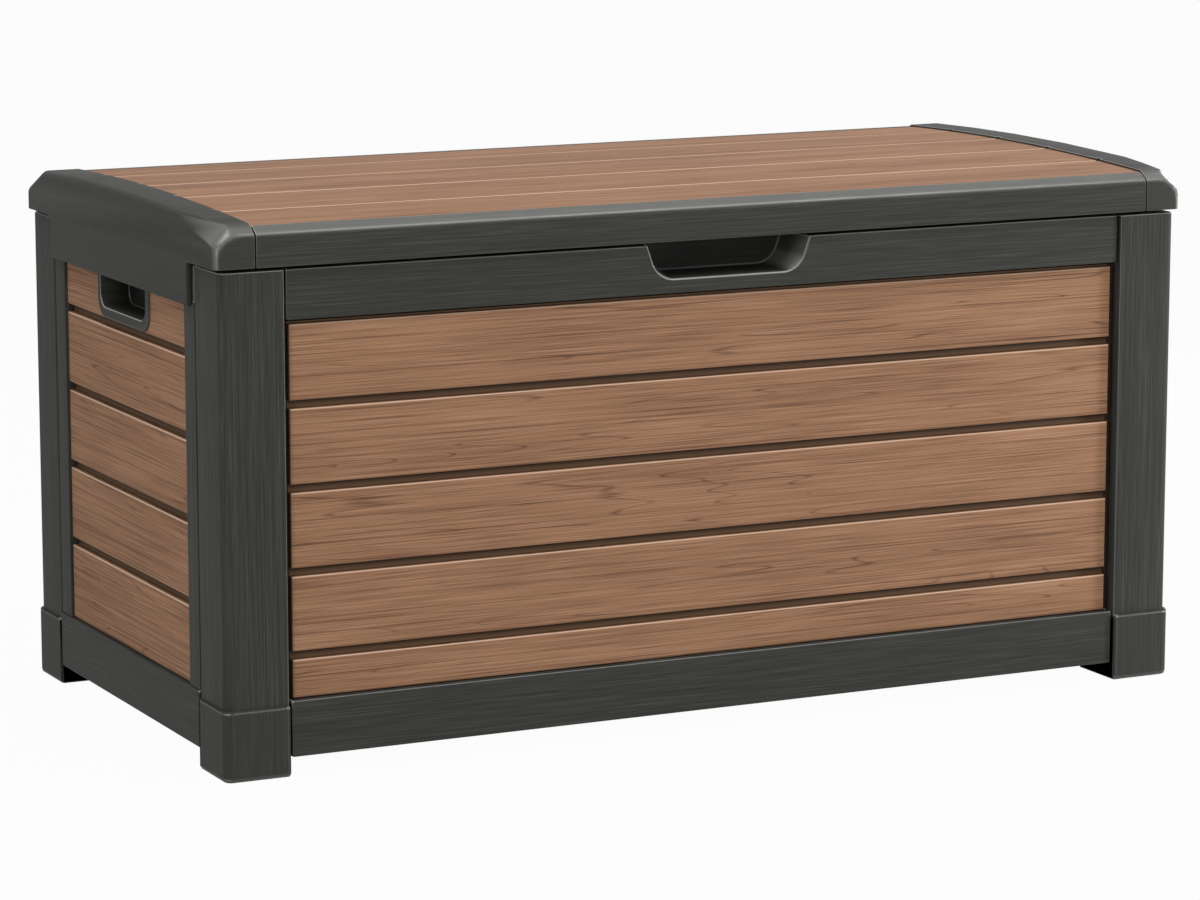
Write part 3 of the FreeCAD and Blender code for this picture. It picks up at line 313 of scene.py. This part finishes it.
def graphite_material(name, grain, contrast, highlight_everywhere=False):
    """Moulded polypropylene with brushed streaks and polished bends, a painted highlight on
    upward-facing edges, and painted shade in the hand holds and recesses.
    """
    material, add = new_material(name)
    place = add("TexCoord")
    streaks, bands = brushed_grain(add, place.outputs["Object"], grain)
    both = add("Math", [streaks, bands], operation="ADD")
    tone = add("MapRange", [both, 0.7, 1.3, 0.5 - contrast, 0.5 + contrast])
    ramp = add("ValToRGB", {"Fac": tone})
    set_stops(ramp, (0.0, "#272725"), (0.5, "#3C3C39"), (1.0, "#53534F"))

    # Painted highlight: upward-facing edges are mixed towards light grey. Painted shade: the colour
    # goes nearly black with the depth of a hand hold or of a top rail's recess.
    bent, edge_highlight = bent_and_highlit(add, place.outputs["Normal"], highlight_everywhere)
    depth = add("Attribute", attribute_name="depth").outputs["Fac"]
    recess_shade = add("MapRange", [depth, 6 * MM, 30 * MM, 0.0, 0.7])
    colour = ramp.outputs[0]
    for share, tint in ((edge_highlight, "#A6A6A1"), (recess_shade, "#0A0A09")):
        mix = add("Mix", {"Factor": share, "A": colour, "B": linear(tint)}, data_type="RGBA")
        colour = mix.outputs["Result"]

    # Polish makes a bend smoother and shinier than the flat faces.
    smoother = add("Math", [bent, 0.27], operation="MULTIPLY")
    rough = add("MapRange", [streaks, *NOISE, 0.58, 0.68])
    rough = add("Math", [rough, smoother], operation="SUBTRACT")
    gloss = add("MapRange", [bent, 0.0, 1.0, 0.1, 0.8])
    bump = add("Bump", {"Height": streaks, "Strength": 0.25, "Distance": 0.4 * MM})
    resin = add("BsdfPrincipled", {"Base Color": colour, "Roughness": rough, "Normal": bump,
                                   "Specular IOR Level": gloss, "IOR": RESIN_IOR})
    add("OutputMaterial", {"Surface": resin})
    return material


# How often the streaks and the bands repeat in a metre, across the grain and along it.
FINE, SLOW = 1 / (1.2 * MM), 1 / (60 * MM)
BAND, DRAWN = 1 / (2.4 * MM), 1 / (150 * MM)
LEVEL = ((SLOW, SLOW, FINE), (DRAWN, DRAWN, BAND))
UPRIGHT = ((FINE, FINE, SLOW), (BAND, BAND, DRAWN))
graphite_level = graphite_material("graphite_polypropylene_level_grain", LEVEL, 0.26)
graphite_upright = graphite_material("graphite_polypropylene_upright_grain", UPRIGHT, 0.3)
graphite_smooth = graphite_material("graphite_polypropylene_faint_grain", LEVEL, 0.1)
graphite_foot = graphite_material("graphite_polypropylene_faint_upright_grain", UPRIGHT, 0.12)
# The edge finish paints its highlight on every upward-facing face, not only on polished ones.
graphite_highlit_edge = graphite_material("graphite_polypropylene_edge_with_painted_highlight", LEVEL, 0.1, highlight_everywhere=True)
print("a graphite finish has %d nodes" % len(graphite_level.node_tree.nodes))

# %% [markdown]
# ## Brown wood-look resin
#
# The panels are polypropylene too, with two tones of brown swirled in the melt and a grain cut
# into the mould. The eye sees long dark streaks, fine fibres, and here and there the pointed
# arches that a saw finds in a real plank. A picture of wood would repeat from board to board, so
# the grain is built from noises. Arches are the lines where a slow noise crosses one of 24 levels.
#
# The scales are how often each noise repeats in a metre. Real fibres are finer than 1 mm, but
# only those from about 1 mm up show, so the threads are 1.1 mm apart and the fibres 2.4 mm.
#
# Two attributes steer the pattern. One, grain, holds the distance along the board, the distance
# across it and its number, so that each board shows another part of the noise. The other, rise,
# tells how far a point stands out of the sheet. It is 1 on a board's face, 0 down in the groove,
# and -1 right under a board and beside its ends, where hardly any light gets in. The groove is
# painted darker as shade, darkest at -1, and the round upper edge of a board gets a painted
# highlight.

# %% The noises and the dark lines of the grain
THREADS = 900.0
ARCH_LEVELS = 24.0


def wood_noises(add, grain):
    """The six noises of the grain by name. Each has its scales along the board, across it and from
    board to board, its detail and its roughness."""
    noise = {}
    for part, scale, detail, roughness in (("fibre", (3.5, 420.0, 5.0), 2.0, 0.6),
                                           ("thread", (8.0, THREADS, 5.0), 2.0, 0.6),
                                           ("patch", (3.0, 24.0, 3.0), 2.0, 0.5),
                                           ("swirl", (0.7, 22.0, 9.0), 2.0, 0.3),
                                           ("fade", (1.4, 40.0, 3.0), 1.0, 0.5),
                                           ("streak", (0.5, 330.0, 7.0), 2.0, 0.5)):
        drawn = add("Mapping", {"Vector": grain, "Scale": scale})
        noise[part] = add("TexNoise", {"Vector": drawn, "Scale": 1.0, "Detail": detail,
                                       "Roughness": roughness})
    return noise


def dark_lines(add, noise):
    """The darker of two kinds of line: arches, where the swirl crosses a level, and which come and
    go, and long streaks."""
    wave = add("Math", [noise["swirl"], math.pi * ARCH_LEVELS], operation="MULTIPLY")
    wave = add("Math", [add("Math", [wave], operation="SINE")], operation="ABSOLUTE")
    arch = add("MapRange", [wave, 0.0, 0.19, 1.0, 0.0])
    come_and_go = add("MapRange", [noise["fade"], 0.34, 0.56, 0.0, 0.9])
    arch = add("Math", [arch, come_and_go], operation="MULTIPLY")
    streak = add("MapRange", [noise["streak"], 0.6, 0.7, 0.0, 1.0])
    return add("Math", [arch, streak], operation="MAXIMUM")


def board_tone(add, noise, dark):
    """From 0, dark, to 1, light: patches set the tone, fibres and threads change it, and dark lines
    lower it."""
    tone = add("MapRange", [noise["patch"], *NOISE, 0.47, 0.65])
    for part, swing in (("fibre", 0.15), ("thread", 0.22)):
        change = add("MapRange", [noise[part], *NOISE, -swing, swing])
        tone = add("Math", [tone, change], operation="ADD")
    shade = add("Math", [dark, 0.32], operation="MULTIPLY")
    return add("Math", [tone, shade], operation="SUBTRACT")


def board_edge_highlight(add, rise):
    """Where the painted highlight goes: 1 on the round upper edge of a board, where it faces up, and 0
    on its face, in its groove and on its underside.
    """
    up = add("SeparateXYZ", [add("TexCoord").outputs["Normal"]]).outputs[2]
    light = add("MapRange", [rise, 0.78, 0.86, 0.0, 1.0])
    for limits in ((rise, 0.95, 1.0, 1.0, 0.0), (up, -0.1, 0.2, 0.0, 1.0)):
        light = add("Math", [light, add("MapRange", limits)], operation="MULTIPLY")
    return light


print("threads are %.1f mm apart" % (1 / THREADS / MM))

# %% Brown finish
def wood_look_material():
    """Two-tone moulded polypropylene: streaks, fibres and arches on the attribute named grain."""
    material, add = new_material("brown_polypropylene_wood_grain")
    noise = wood_noises(add, add("Attribute", attribute_name="grain").outputs["Vector"])
    dark = dark_lines(add, noise)
    ramp = add("ValToRGB", {"Fac": board_tone(add, noise, dark)})
    set_stops(ramp, (0.0, "#4C3426"), (0.3, "#7B5842"), (0.55, "#9C7457"), (1.0, "#BE9375"))

    # A painted highlight lightens a board's round upper edge, and painted shade darkens its groove,
    # most of all right under a board and beside its ends.
    rise = add("Attribute", attribute_name="rise").outputs["Fac"]
    light = board_edge_highlight(add, rise)
    edged = add("Mix", {"Factor": light, "A": ramp, "B": linear("#D2AF95")}, data_type="RGBA")
    lit = add("MapRange", [rise, -0.8, -0.2, 0.0, 1.0])
    groove = add("Mix", {"Factor": lit, "A": linear("#2E1F14"), "B": linear("#684F39")},
                 data_type="RGBA")
    sunk = add("MapRange", [rise, 0.1, 0.7, 1.0, 0.0])
    colour = add("Mix", {"Factor": sunk, "A": edged.outputs["Result"], "B": groove.outputs["Result"]},
                 data_type="RGBA")

    # The fibres stand up and the dark lines are sunk. The edge with the painted highlight is also
    # smoother and shinier.
    fibres = add("Math", [noise["fibre"], 0.5], operation="MULTIPLY")
    relief = add("Math", [fibres, dark], operation="SUBTRACT")
    bump = add("Bump", {"Height": relief, "Strength": 0.3, "Distance": 0.35 * MM})
    rough = add("MapRange", [light, 0.0, 1.0, 0.68, 0.4])
    gloss = add("MapRange", [light, 0.0, 1.0, 0.18, 0.5])
    resin = add("BsdfPrincipled", {"Base Color": colour.outputs["Result"], "Roughness": rough,
                                   "Normal": bump, "Specular IOR Level": gloss, "IOR": RESIN_IOR})
    add("OutputMaterial", {"Surface": resin})
    return material


wood_look = wood_look_material()
print("wood look: %d nodes" % len(wood_look.node_tree.nodes))

# %% [markdown]
# ## Metal and rubber
#
# The hinge leaves are steel under black powder coat, which leaves a fine orange-peel skin. Pins
# and screws are zinc-plated steel, brushed and slightly yellow. The bumpers are matte black rubber
# with a dusty bloom. These pieces are small and half hidden, so one plain recipe makes all three:
# a slow noise for the colour and the roughness, and a fine one for the skin.

# %% Small finishes
CLOUD = 30.0  # How often the slow noise repeats in a metre: one cloud is 33 mm wide.


def plain_material(name, colours, metal, roughness, skin_mm, relief_mm):
    """A finish whose colour and roughness wander a little, with a fine skin of a given grain."""
    material, add = new_material(name)
    place = add("TexCoord").outputs["Object"]
    skin = add("TexNoise", {"Vector": place, "Scale": 1 / (skin_mm * MM), "Detail": 3.0})
    cloud = add("TexNoise", {"Vector": place, "Scale": CLOUD, "Detail": 2.0})
    ramp = add("ValToRGB", {"Fac": cloud})
    set_stops(ramp, *zip(NOISE, colours))
    rough = add("MapRange", [cloud, *NOISE, roughness - 0.06, roughness + 0.06])
    bump = add("Bump", {"Height": skin, "Strength": 0.3, "Distance": relief_mm * MM})
    surface = add("BsdfPrincipled", {"Base Color": ramp, "Roughness": rough, "Normal": bump,
                                     "Metallic": metal})
    add("OutputMaterial", {"Surface": surface})
    return material


powder_coat = plain_material("steel_black_powder_coat", ("#1C1C1D", "#262627"), 0.0, 0.42, 1.2, 0.15)
zinc = plain_material("steel_zinc_plate", ("#B9B7AE", "#CFCCC0"), 1.0, 0.34, 0.8, 0.05)
rubber = plain_material("rubber_matte_black", ("#141414", "#202020"), 0.0, 0.75, 1.0, 0.12)
print("small finishes:", powder_coat.name, zinc.name, rubber.name)

# %% [markdown]
# ## Soft edges on the frame's mouldings
#
# Resin never leaves a mould with a knife edge, and these edges catch the light as thin bright
# lines. A shader can fake a round edge, but the meshes don't keep it. The CAD nodes already have
# the right shape, so each visible moulding is a copy of its node: its loose triangles are merged,
# flat neighbours become one face, and a Bevel modifier rounds the corners that are left. The new
# faces get the second finish, which paints them lighter as a highlight, most where they face up.

# %% Merge a node's triangles
FLAT, SHARP = math.radians(0.6), math.radians(40)
MERGE = 0.01 * MM


def vertex_places(mesh):
    """The places of a mesh's vertices as one array."""
    places = np.empty(3 * len(mesh.vertices), dtype=np.float32)
    mesh.vertices.foreach_get("co", places)
    return places.reshape(-1, 3).astype(float)


def merged_mesh(node):
    """A CAD node's mesh with its triangles merged, smooth but for its sharp edges."""
    body = bmesh.new()
    body.from_mesh(nodes[node].data)
    bmesh.ops.remove_doubles(body, verts=body.verts, dist=MERGE)
    bmesh.ops.dissolve_limit(body, angle_limit=FLAT, verts=body.verts, edges=body.edges)
    mesh = bpy.data.meshes.new(node + "_moulding")
    body.to_mesh(mesh)
    body.free()
    for leftover in ("custom_normal", "UVMap"):
        if leftover in mesh.attributes:
            mesh.attributes.remove(mesh.attributes[leftover])
    mesh.materials.clear()
    mesh.shade_smooth()
    mesh.set_sharp_from_angle(angle=SHARP)
    return mesh


print("edges over %.0f degrees are sharp" % math.degrees(SHARP))

# %% Round the sharp edges
PROUD = 5 * MM  # Past this, the rounded corners have run into each other.


def round_edges(piece, node, width):
    """Rounds a piece's sharp edges. A width at which corners run into each other, so that the mesh
    leaves the node's box, is halved, and what still stands proud is laid back on the box."""
    bevel = piece.modifiers.new("soft_edges", "BEVEL")
    bevel.segments = 2
    bevel.material = 1
    bevel.limit_method = "ANGLE"
    bevel.angle_limit = SHARP
    bevel.use_clamp_overlap = False
    bevel.harden_normals = True
    for share in (1.0, 0.5, 0.25):
        bevel.width = width * share
        graph = bpy.context.evaluated_depsgraph_get()
        mesh = bpy.data.meshes.new_from_object(piece.evaluated_get(graph), depsgraph=graph)
        places = vertex_places(mesh)
        inside = np.clip(places, *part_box(node))
        if abs(places - inside).max() < PROUD:
            break
    mesh.vertices.foreach_set("co", inside.ravel())
    piece.modifiers.clear()
    piece.data = mesh


print("rounded corners may stand %.0f mm proud before they are laid back" % (PROUD / MM))

# %% [markdown]
# Polish and the painted highlight don't fall evenly. Polish shows on the long bends of the rails,
# on the ball corners of the lid's caps and on the inner edges of the posts, and the painted
# highlight on polished upward-facing edges is strongest on the top rails. Painted shade darkens the
# hand holds and the top rails' recess with their depth. Each vertex knows its node and its place,
# so three attributes can say this without painting a map.

# %% Mark the polish, the painted highlight and the depth
CAP_POLISH = (20 * MM, 60 * MM)  # A cap's polish fades between these distances from the front.
POST_EDGE = 4 * MM
# Shares of the painted highlight on polished upward-facing edges, for most pieces and for the top
# rails.
HIGHLIGHT_SHARE, TOP_RAIL_HIGHLIGHT_SHARE = 0.16, 0.9


def mark_surface(mesh, node):
    """Gives each vertex its polish, its share of the painted highlight, and its depth behind the
    outer face, which sets the painted shade.
    """
    x, y, _ = vertex_places(mesh).T
    depth, polish, highlight_share = np.zeros(len(x)), np.zeros(len(x)), np.full(len(x), HIGHLIGHT_SHARE)
    # The depth makes the painted shade in the hand holds and in the top rails' recess.
    if node.startswith("handle_rail"):
        depth = abs(x).max() - abs(x)
    if node.startswith("top_rail"):
        depth, highlight_share = abs(y).max() - abs(y), np.full(len(x), TOP_RAIL_HIGHLIGHT_SHARE)
    if node.startswith(("lid_rail", "bottom_rail", "top_rail")):
        polish = np.ones(len(x))
    if node.startswith("lid_cap"):
        polish = np.interp(y - y.min(), CAP_POLISH, (1.0, 0.0))
    if node.startswith("post"):
        polish = abs(x) < abs(x).min() + POST_EDGE
    for name, values in (("depth", depth), ("polish", polish), ("highlight_share", highlight_share)):
        attribute = mesh.attributes.new(name, "FLOAT", "POINT")
        attribute.data.foreach_set("value", values.astype(np.float32))


# The figure printed is how much more painted highlight the top rails get.
print("top rails are rubbed %.1f times as much as the rest" % (TOP_RAIL_HIGHLIGHT_SHARE / HIGHLIGHT_SHARE))

# %% Mouldings of the frame
def soft_copy(node, material, width):
    """A merged copy of a CAD node with its sharp edges rounded by a width, riding where it rides."""
    mesh = merged_mesh(node)
    mark_surface(mesh, node)
    mesh.materials.append(material)
    mesh.materials.append(graphite_highlit_edge)
    piece = bpy.data.objects.new(mesh.name, mesh)
    bpy.context.scene.collection.objects.link(piece)
    round_edges(piece, node, width)
    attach(piece, body_of(nodes[node])[0])
    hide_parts(node)


ends, sides = ("front", "rear"), ("left", "right")
mouldings = (("post", "corner", graphite_upright, 1.3), ("stile", "corner", graphite_upright, 1.3),
             ("foot", "corner", graphite_foot, 2.5), ("lid_cap", "side", graphite_smooth, 0.7),
             ("bottom_rail", "end", graphite_level, 2.0), ("top_rail", "end", graphite_level, 2.2),
             ("skirt", "side", graphite_level, 1.3), ("handle_rail", "side", graphite_level, 1.3),
             ("lid_rail", "end", graphite_level, 0.7))
places_of = {"side": sides, "end": ends, "corner": [end + "_" + side for end in ends for side in sides]}
for name, kind, material, width_mm in mouldings:
    for place in places_of[kind]:
        soft_copy(name + "_" + place, material, width_mm * MM)

# %% [markdown]
# ## Plank walls
#
# Each wall is one moulded sheet, 3 mm thick, whose boards stand 8 mm out of it. Loose boards could
# be laid on a sheet, but then it wouldn't be one moulding. Seen from the front the wall is a height
# over a flat grid, so its front is a function of the place along the wall and the height above the
# ground. The boards' edges rise almost straight and end in a quarter round, which catches the light
# as a bright line over each dark groove, and the wood look adds a painted highlight on that round
# and painted shade in the groove. The inside is a second height over the same grid. The side walls
# are cut out where the hand holes sit.

# %% A board's height and the lines of the grid
SHEET, RELIEF, EDGE, RISE = 3 * MM, 8 * MM, 2.2 * MM, 0.4 * MM
PITCH, GROOVE = 97 * MM, 9 * MM
TINY = 1e-6


def board_height(distance):
    """Height of a board over its sheet at a distance in from its edge: a steep rise, a quarter
    round of radius EDGE, and then the flat face."""
    rise = np.clip(distance / RISE, 0, 1) * (RELIEF - EDGE)
    turn = np.clip((distance - RISE) / EDGE, 0, 1)
    return np.where(distance > 0, rise + EDGE * np.sqrt(1 - (1 - turn) ** 2), 0.0)


def board_bands(low, high, top_board, crest):
    """Lower and upper edge of each board from the top down. The top one ends a crest below the
    sheet, then they follow by the pitch, and the last one reaches the rail."""
    bands, top, bottom = [], high - crest, high - top_board
    while bottom - GROOVE > low + GROOVE:
        bands.append((bottom, top))
        top, bottom = bottom - GROOVE, bottom - PITCH
    return np.array([*bands, (low, top)])


def nearest_board(from_end, height, bands):
    """Which board each point belongs to, and how far in from its edge the point lies, which is the
    smallest of its distances from the board's end, its lower edge and its upper edge."""
    inset = np.stack([np.minimum(from_end, np.minimum(height - z0, z1 - height)) for z0, z1 in bands])
    return np.argmax(inset, axis=0), inset.max(axis=0)


def edge_lines(low, high):
    """Grid lines that a board needs near its two edges."""
    steps = np.concatenate([[0.0, RISE], RISE + EDGE * (1 - np.cos(np.linspace(0, np.pi / 2, 6)[1:])),
                            [2 * SHEET, 2 * SHEET + RISE]])
    return np.concatenate([low + steps, high - steps])


def grid_lines(low, high, *groups):
    """All lines of some groups between two limits, in order and without doubles."""
    lines = np.unique(np.round(np.concatenate(groups), 6))
    return lines[(lines >= low - TINY) & (lines <= high + TINY)]


print("a board's face stands %.1f mm out" % (board_height(2 * SHEET) / MM))

# %% From a grid to a closed piece
def shell_of_heights(front, back, keep):
    """A closed shell between two grids of points, with quads round the rim of the cells that are
    kept: its points, its faces, and the grid point that each of its points comes from."""
    rows, columns = keep.shape[0] + 1, keep.shape[1] + 1
    index = np.arange(rows * columns).reshape(rows, columns)
    quads = np.stack([index[:-1, :-1], index[:-1, 1:], index[1:, 1:], index[1:, :-1]], axis=-1)[keep]
    sides_of_quads = np.concatenate([quads[:, [k, (k + 1) % 4]] for k in range(4)])
    key = np.sort(sides_of_quads, axis=1) @ np.array([rows * columns, 1])
    _, first, count = np.unique(key, return_index=True, return_counts=True)
    rim = sides_of_quads[first[count == 1]]
    offset = rows * columns
    band = np.stack([rim[:, 1], rim[:, 0], rim[:, 0] + offset, rim[:, 1] + offset], axis=-1)
    faces = np.concatenate([quads, quads[:, ::-1] + offset, band])
    points = np.concatenate([front.reshape(-1, 3), back.reshape(-1, 3)])
    used, faces = np.unique(faces, return_inverse=True)
    return points[used], faces.reshape(-1, 4).tolist(), used % offset


corner_points = np.zeros((2, 2, 3))
one_cell = shell_of_heights(corner_points, corner_points, np.ones((1, 1), dtype=bool))[1]
print("one cell of the grid closes into %d faces" % len(one_cell))

# %% A brown piece
BOARD_SHARP = math.radians(50)


def resin_piece(name, node, points, faces, grain, rise):
    """A brown piece from arrays, with the two attributes that the wood look reads."""
    mesh = bpy.data.meshes.new(name)
    mesh.from_pydata(points, [], faces)
    attribute = mesh.attributes.new("grain", "FLOAT_VECTOR", "POINT")
    attribute.data.foreach_set("vector", grain.astype(np.float32).ravel())
    attribute = mesh.attributes.new("rise", "FLOAT", "POINT")
    attribute.data.foreach_set("value", rise.astype(np.float32))
    mesh.materials.append(wood_look)
    mesh.shade_smooth()
    mesh.set_sharp_from_angle(angle=BOARD_SHARP)
    piece = bpy.data.objects.new(name, mesh)
    bpy.context.scene.collection.objects.link(piece)
    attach(piece, body_of(nodes[node])[0])
    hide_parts(node)
    print("%s: %d faces" % (name, len(mesh.polygons)))


print("board edges over %.0f degrees are sharp" % math.degrees(BOARD_SHARP))

# %% The four walls
PLAY = 0.3 * MM
BOARD_END = 8.3 * MM  # From a post to the ends of the front boards.
FRONT_TOP, FRONT_TOP_BOARD, FRONT_CREST = 524.6 * MM, 90.1 * MM, 1.9 * MM
SIDE_TOP, SIDE_TOP_BOARD = 541.8 * MM, 57.3 * MM
HAND_HOLE = (79.3 * MM, 495.7 * MM)  # Half width and lower edge of a side wall's cut-out.
WALL_STEP = 0.37  # Added to a wall's board numbers for each degree of its turn.


def wall_piece(name, node, turn, board_half, low, high, top_board, crest=0.0, opening=(0.0, 0.0)):
    """A plank wall made for the front, then turned round Z to its own side. Its opening, if it has
    one, is given by its half width and its lower edge."""
    reach = np.abs(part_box(node)).max(axis=0)
    half, face = reach[:2] if turn in (0, 180) else reach[1::-1]
    bands = board_bands(low, high, top_board, crest)
    x = grid_lines(-half, half, [-half, half, -opening[0], opening[0]],
                   np.linspace(-board_half, board_half, 25), edge_lines(-board_half, board_half))
    z = grid_lines(low, high, [low, high, opening[1]], *(edge_lines(z0, z1) for z0, z1 in bands))
    grid_z, grid_x = np.meshgrid(z, x, indexing="ij")
    from_end = board_half - abs(grid_x)
    number, nearest = nearest_board(from_end, grid_z, bands)
    out = board_height(nearest)
    hollow = np.where(nearest > 2 * SHEET, RELIEF, 0.0)
    sheet_front = RELIEF - face
    front = np.stack([grid_x, sheet_front - out, grid_z], axis=-1)
    back = np.stack([grid_x, sheet_front + SHEET - hollow, grid_z], axis=-1)
    middle_x, middle_z = (x[1:] + x[:-1]) / 2, (z[1:] + z[:-1]) / 2
    keep = ~((abs(middle_x)[None, :] < opening[0]) & (middle_z[:, None] > opening[1]))
    points, faces, source = shell_of_heights(front, back, keep)

    # Each wall and each board reads its own part of the noise.
    grain = np.stack([grid_x, grid_z, number + WALL_STEP * turn], axis=-1).reshape(-1, 3)[source]
    # Rise -1, right under a board and beside its ends, gets the darkest painted groove shade.
    under_board = np.isclose(nearest, 0) & np.isclose(grid_z, bands[number, 0])
    rise = np.where(under_board | (from_end < TINY), -1.0, out / RELIEF).ravel()[source]
    angle = math.radians(turn)
    spin = np.array([[math.cos(angle), -math.sin(angle), 0], [math.sin(angle), math.cos(angle), 0],
                     [0, 0, 1]])
    resin_piece(name, node, points @ spin.T, faces, grain, rise)


rail_top, skirt_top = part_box("bottom_rail_front")[1][2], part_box("skirt_left")[1][2]
front_half = -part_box("post_front_left")[1][0] - BOARD_END
side_half = -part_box("stile_front_left")[1][1] - PLAY
for name, node, turn in (("front_planks", "wall_front", 0), ("rear_planks", "wall_rear", 180)):
    wall_piece(name, node, turn, front_half, rail_top + 2 * PLAY, FRONT_TOP, FRONT_TOP_BOARD,
               crest=FRONT_CREST)
for name, node, turn in (("left_planks", "wall_left", -90), ("right_planks", "wall_right", 90)):
    wall_piece(name, node, turn, side_half, skirt_top + 2 * PLAY, SIDE_TOP, SIDE_TOP_BOARD,
               opening=HAND_HOLE)
print("front boards reach %.1f mm each side" % (front_half / MM))

# %% [markdown]
# ## Lid boards
#
# The lid's five boards follow one gentle crown from front to back. A box with a bevel would be
# flat, so each board is an outline, with a quarter round at both upper edges, carried along X.

# %% The boards of the lid
LID_EDGE, LID_BOARD_THICK = 1.8 * MM, 5 * MM
CROWN_TOP, CROWN_MIDDLE, CROWN_RADIUS = 645 * MM, 10 * MM, 6000 * MM
# The fall of rise at a lid board's edge brings the painted highlight and, further down, the groove's
# painted shade onto that edge.
EDGE_FALL = 0.28  # How far the attribute rise falls over one radius of the edge.
NOISE_START, NOISE_STEP = 20.0, 3.3  # In the noise, a lid board's number is start + step * number.


def crown(y):
    """Height of the lid at y: its top less the square of the distance from the middle over twice
    the radius, which is nearly an arc."""
    return CROWN_TOP - (y - CROWN_MIDDLE) ** 2 / (2 * CROWN_RADIUS)


def carried_outline(outline, x0, x1):
    """An outline of (y, z) points carried from x0 to x1 and closed at both ends."""
    count = len(outline)
    points = np.concatenate([np.column_stack([np.full(count, x), outline]) for x in (x0, x1)])
    index = np.arange(count)
    after = np.roll(index, -1)
    walls = np.stack([index, after, after + count, index + count], axis=-1)
    return points, [*walls.tolist(), index[::-1].tolist(), (index + count).tolist()]


def lid_board_piece(number):
    """One lid board: the crown between the node's edges, and a parallel curve below it."""
    node = "lid_board_%d" % number
    (x0, y0, _), (x1, y1, _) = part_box(node)
    turn = np.linspace(0, np.pi / 2, 5)
    inset, fall = LID_EDGE * (1 - np.cos(turn)), LID_EDGE * (1 - np.sin(turn))
    face = np.linspace(y0 + LID_EDGE, y1 - LID_EDGE, 9)[1:-1]
    y = np.concatenate([y0 + inset, face, y1 - inset[::-1]])
    drop = np.concatenate([fall, np.zeros(len(face)), fall[::-1]])
    under = np.linspace(y1, y0, 7)
    outline = np.concatenate([np.column_stack([under, crown(under) - LID_BOARD_THICK]),
                              np.column_stack([y, crown(y) - drop])])
    points, faces = carried_outline(outline, x0, x1)
    part = np.full(len(points), NOISE_START + NOISE_STEP * number)
    grain = np.column_stack([points[:, 0], points[:, 1], part])
    rise = 1 - EDGE_FALL * np.clip((crown(points[:, 1]) - points[:, 2]) / LID_EDGE, 0, 3)
    resin_piece("lid_plank_%d" % number, node, points, faces, grain, rise)


for number in range(1, 6):
    lid_board_piece(number)

# %% [markdown]
# ## The pieces inside
#
# The floor, the ribbed liner, the hinges and the bumpers could be copied and rounded as well, but
# the eye hardly meets them. Their shape is right already, so they keep their CAD meshes and only
# get their finishes.

# %% Finishes for the CAD nodes that stay
finishes = {"floor_panel": graphite_smooth, "lid_liner": graphite_smooth, "hinge_leaf": powder_coat,
            "hinge_pin": zinc, "hinge_screws": zinc, "bumper": rubber}
for start, material in finishes.items():
    finished = [name for name in nodes if name.startswith(start)]
    for name in finished:
        for slot in nodes[name].material_slots:
            slot.material = material
    print("%s: %s" % (material.name, ", ".join(finished)))
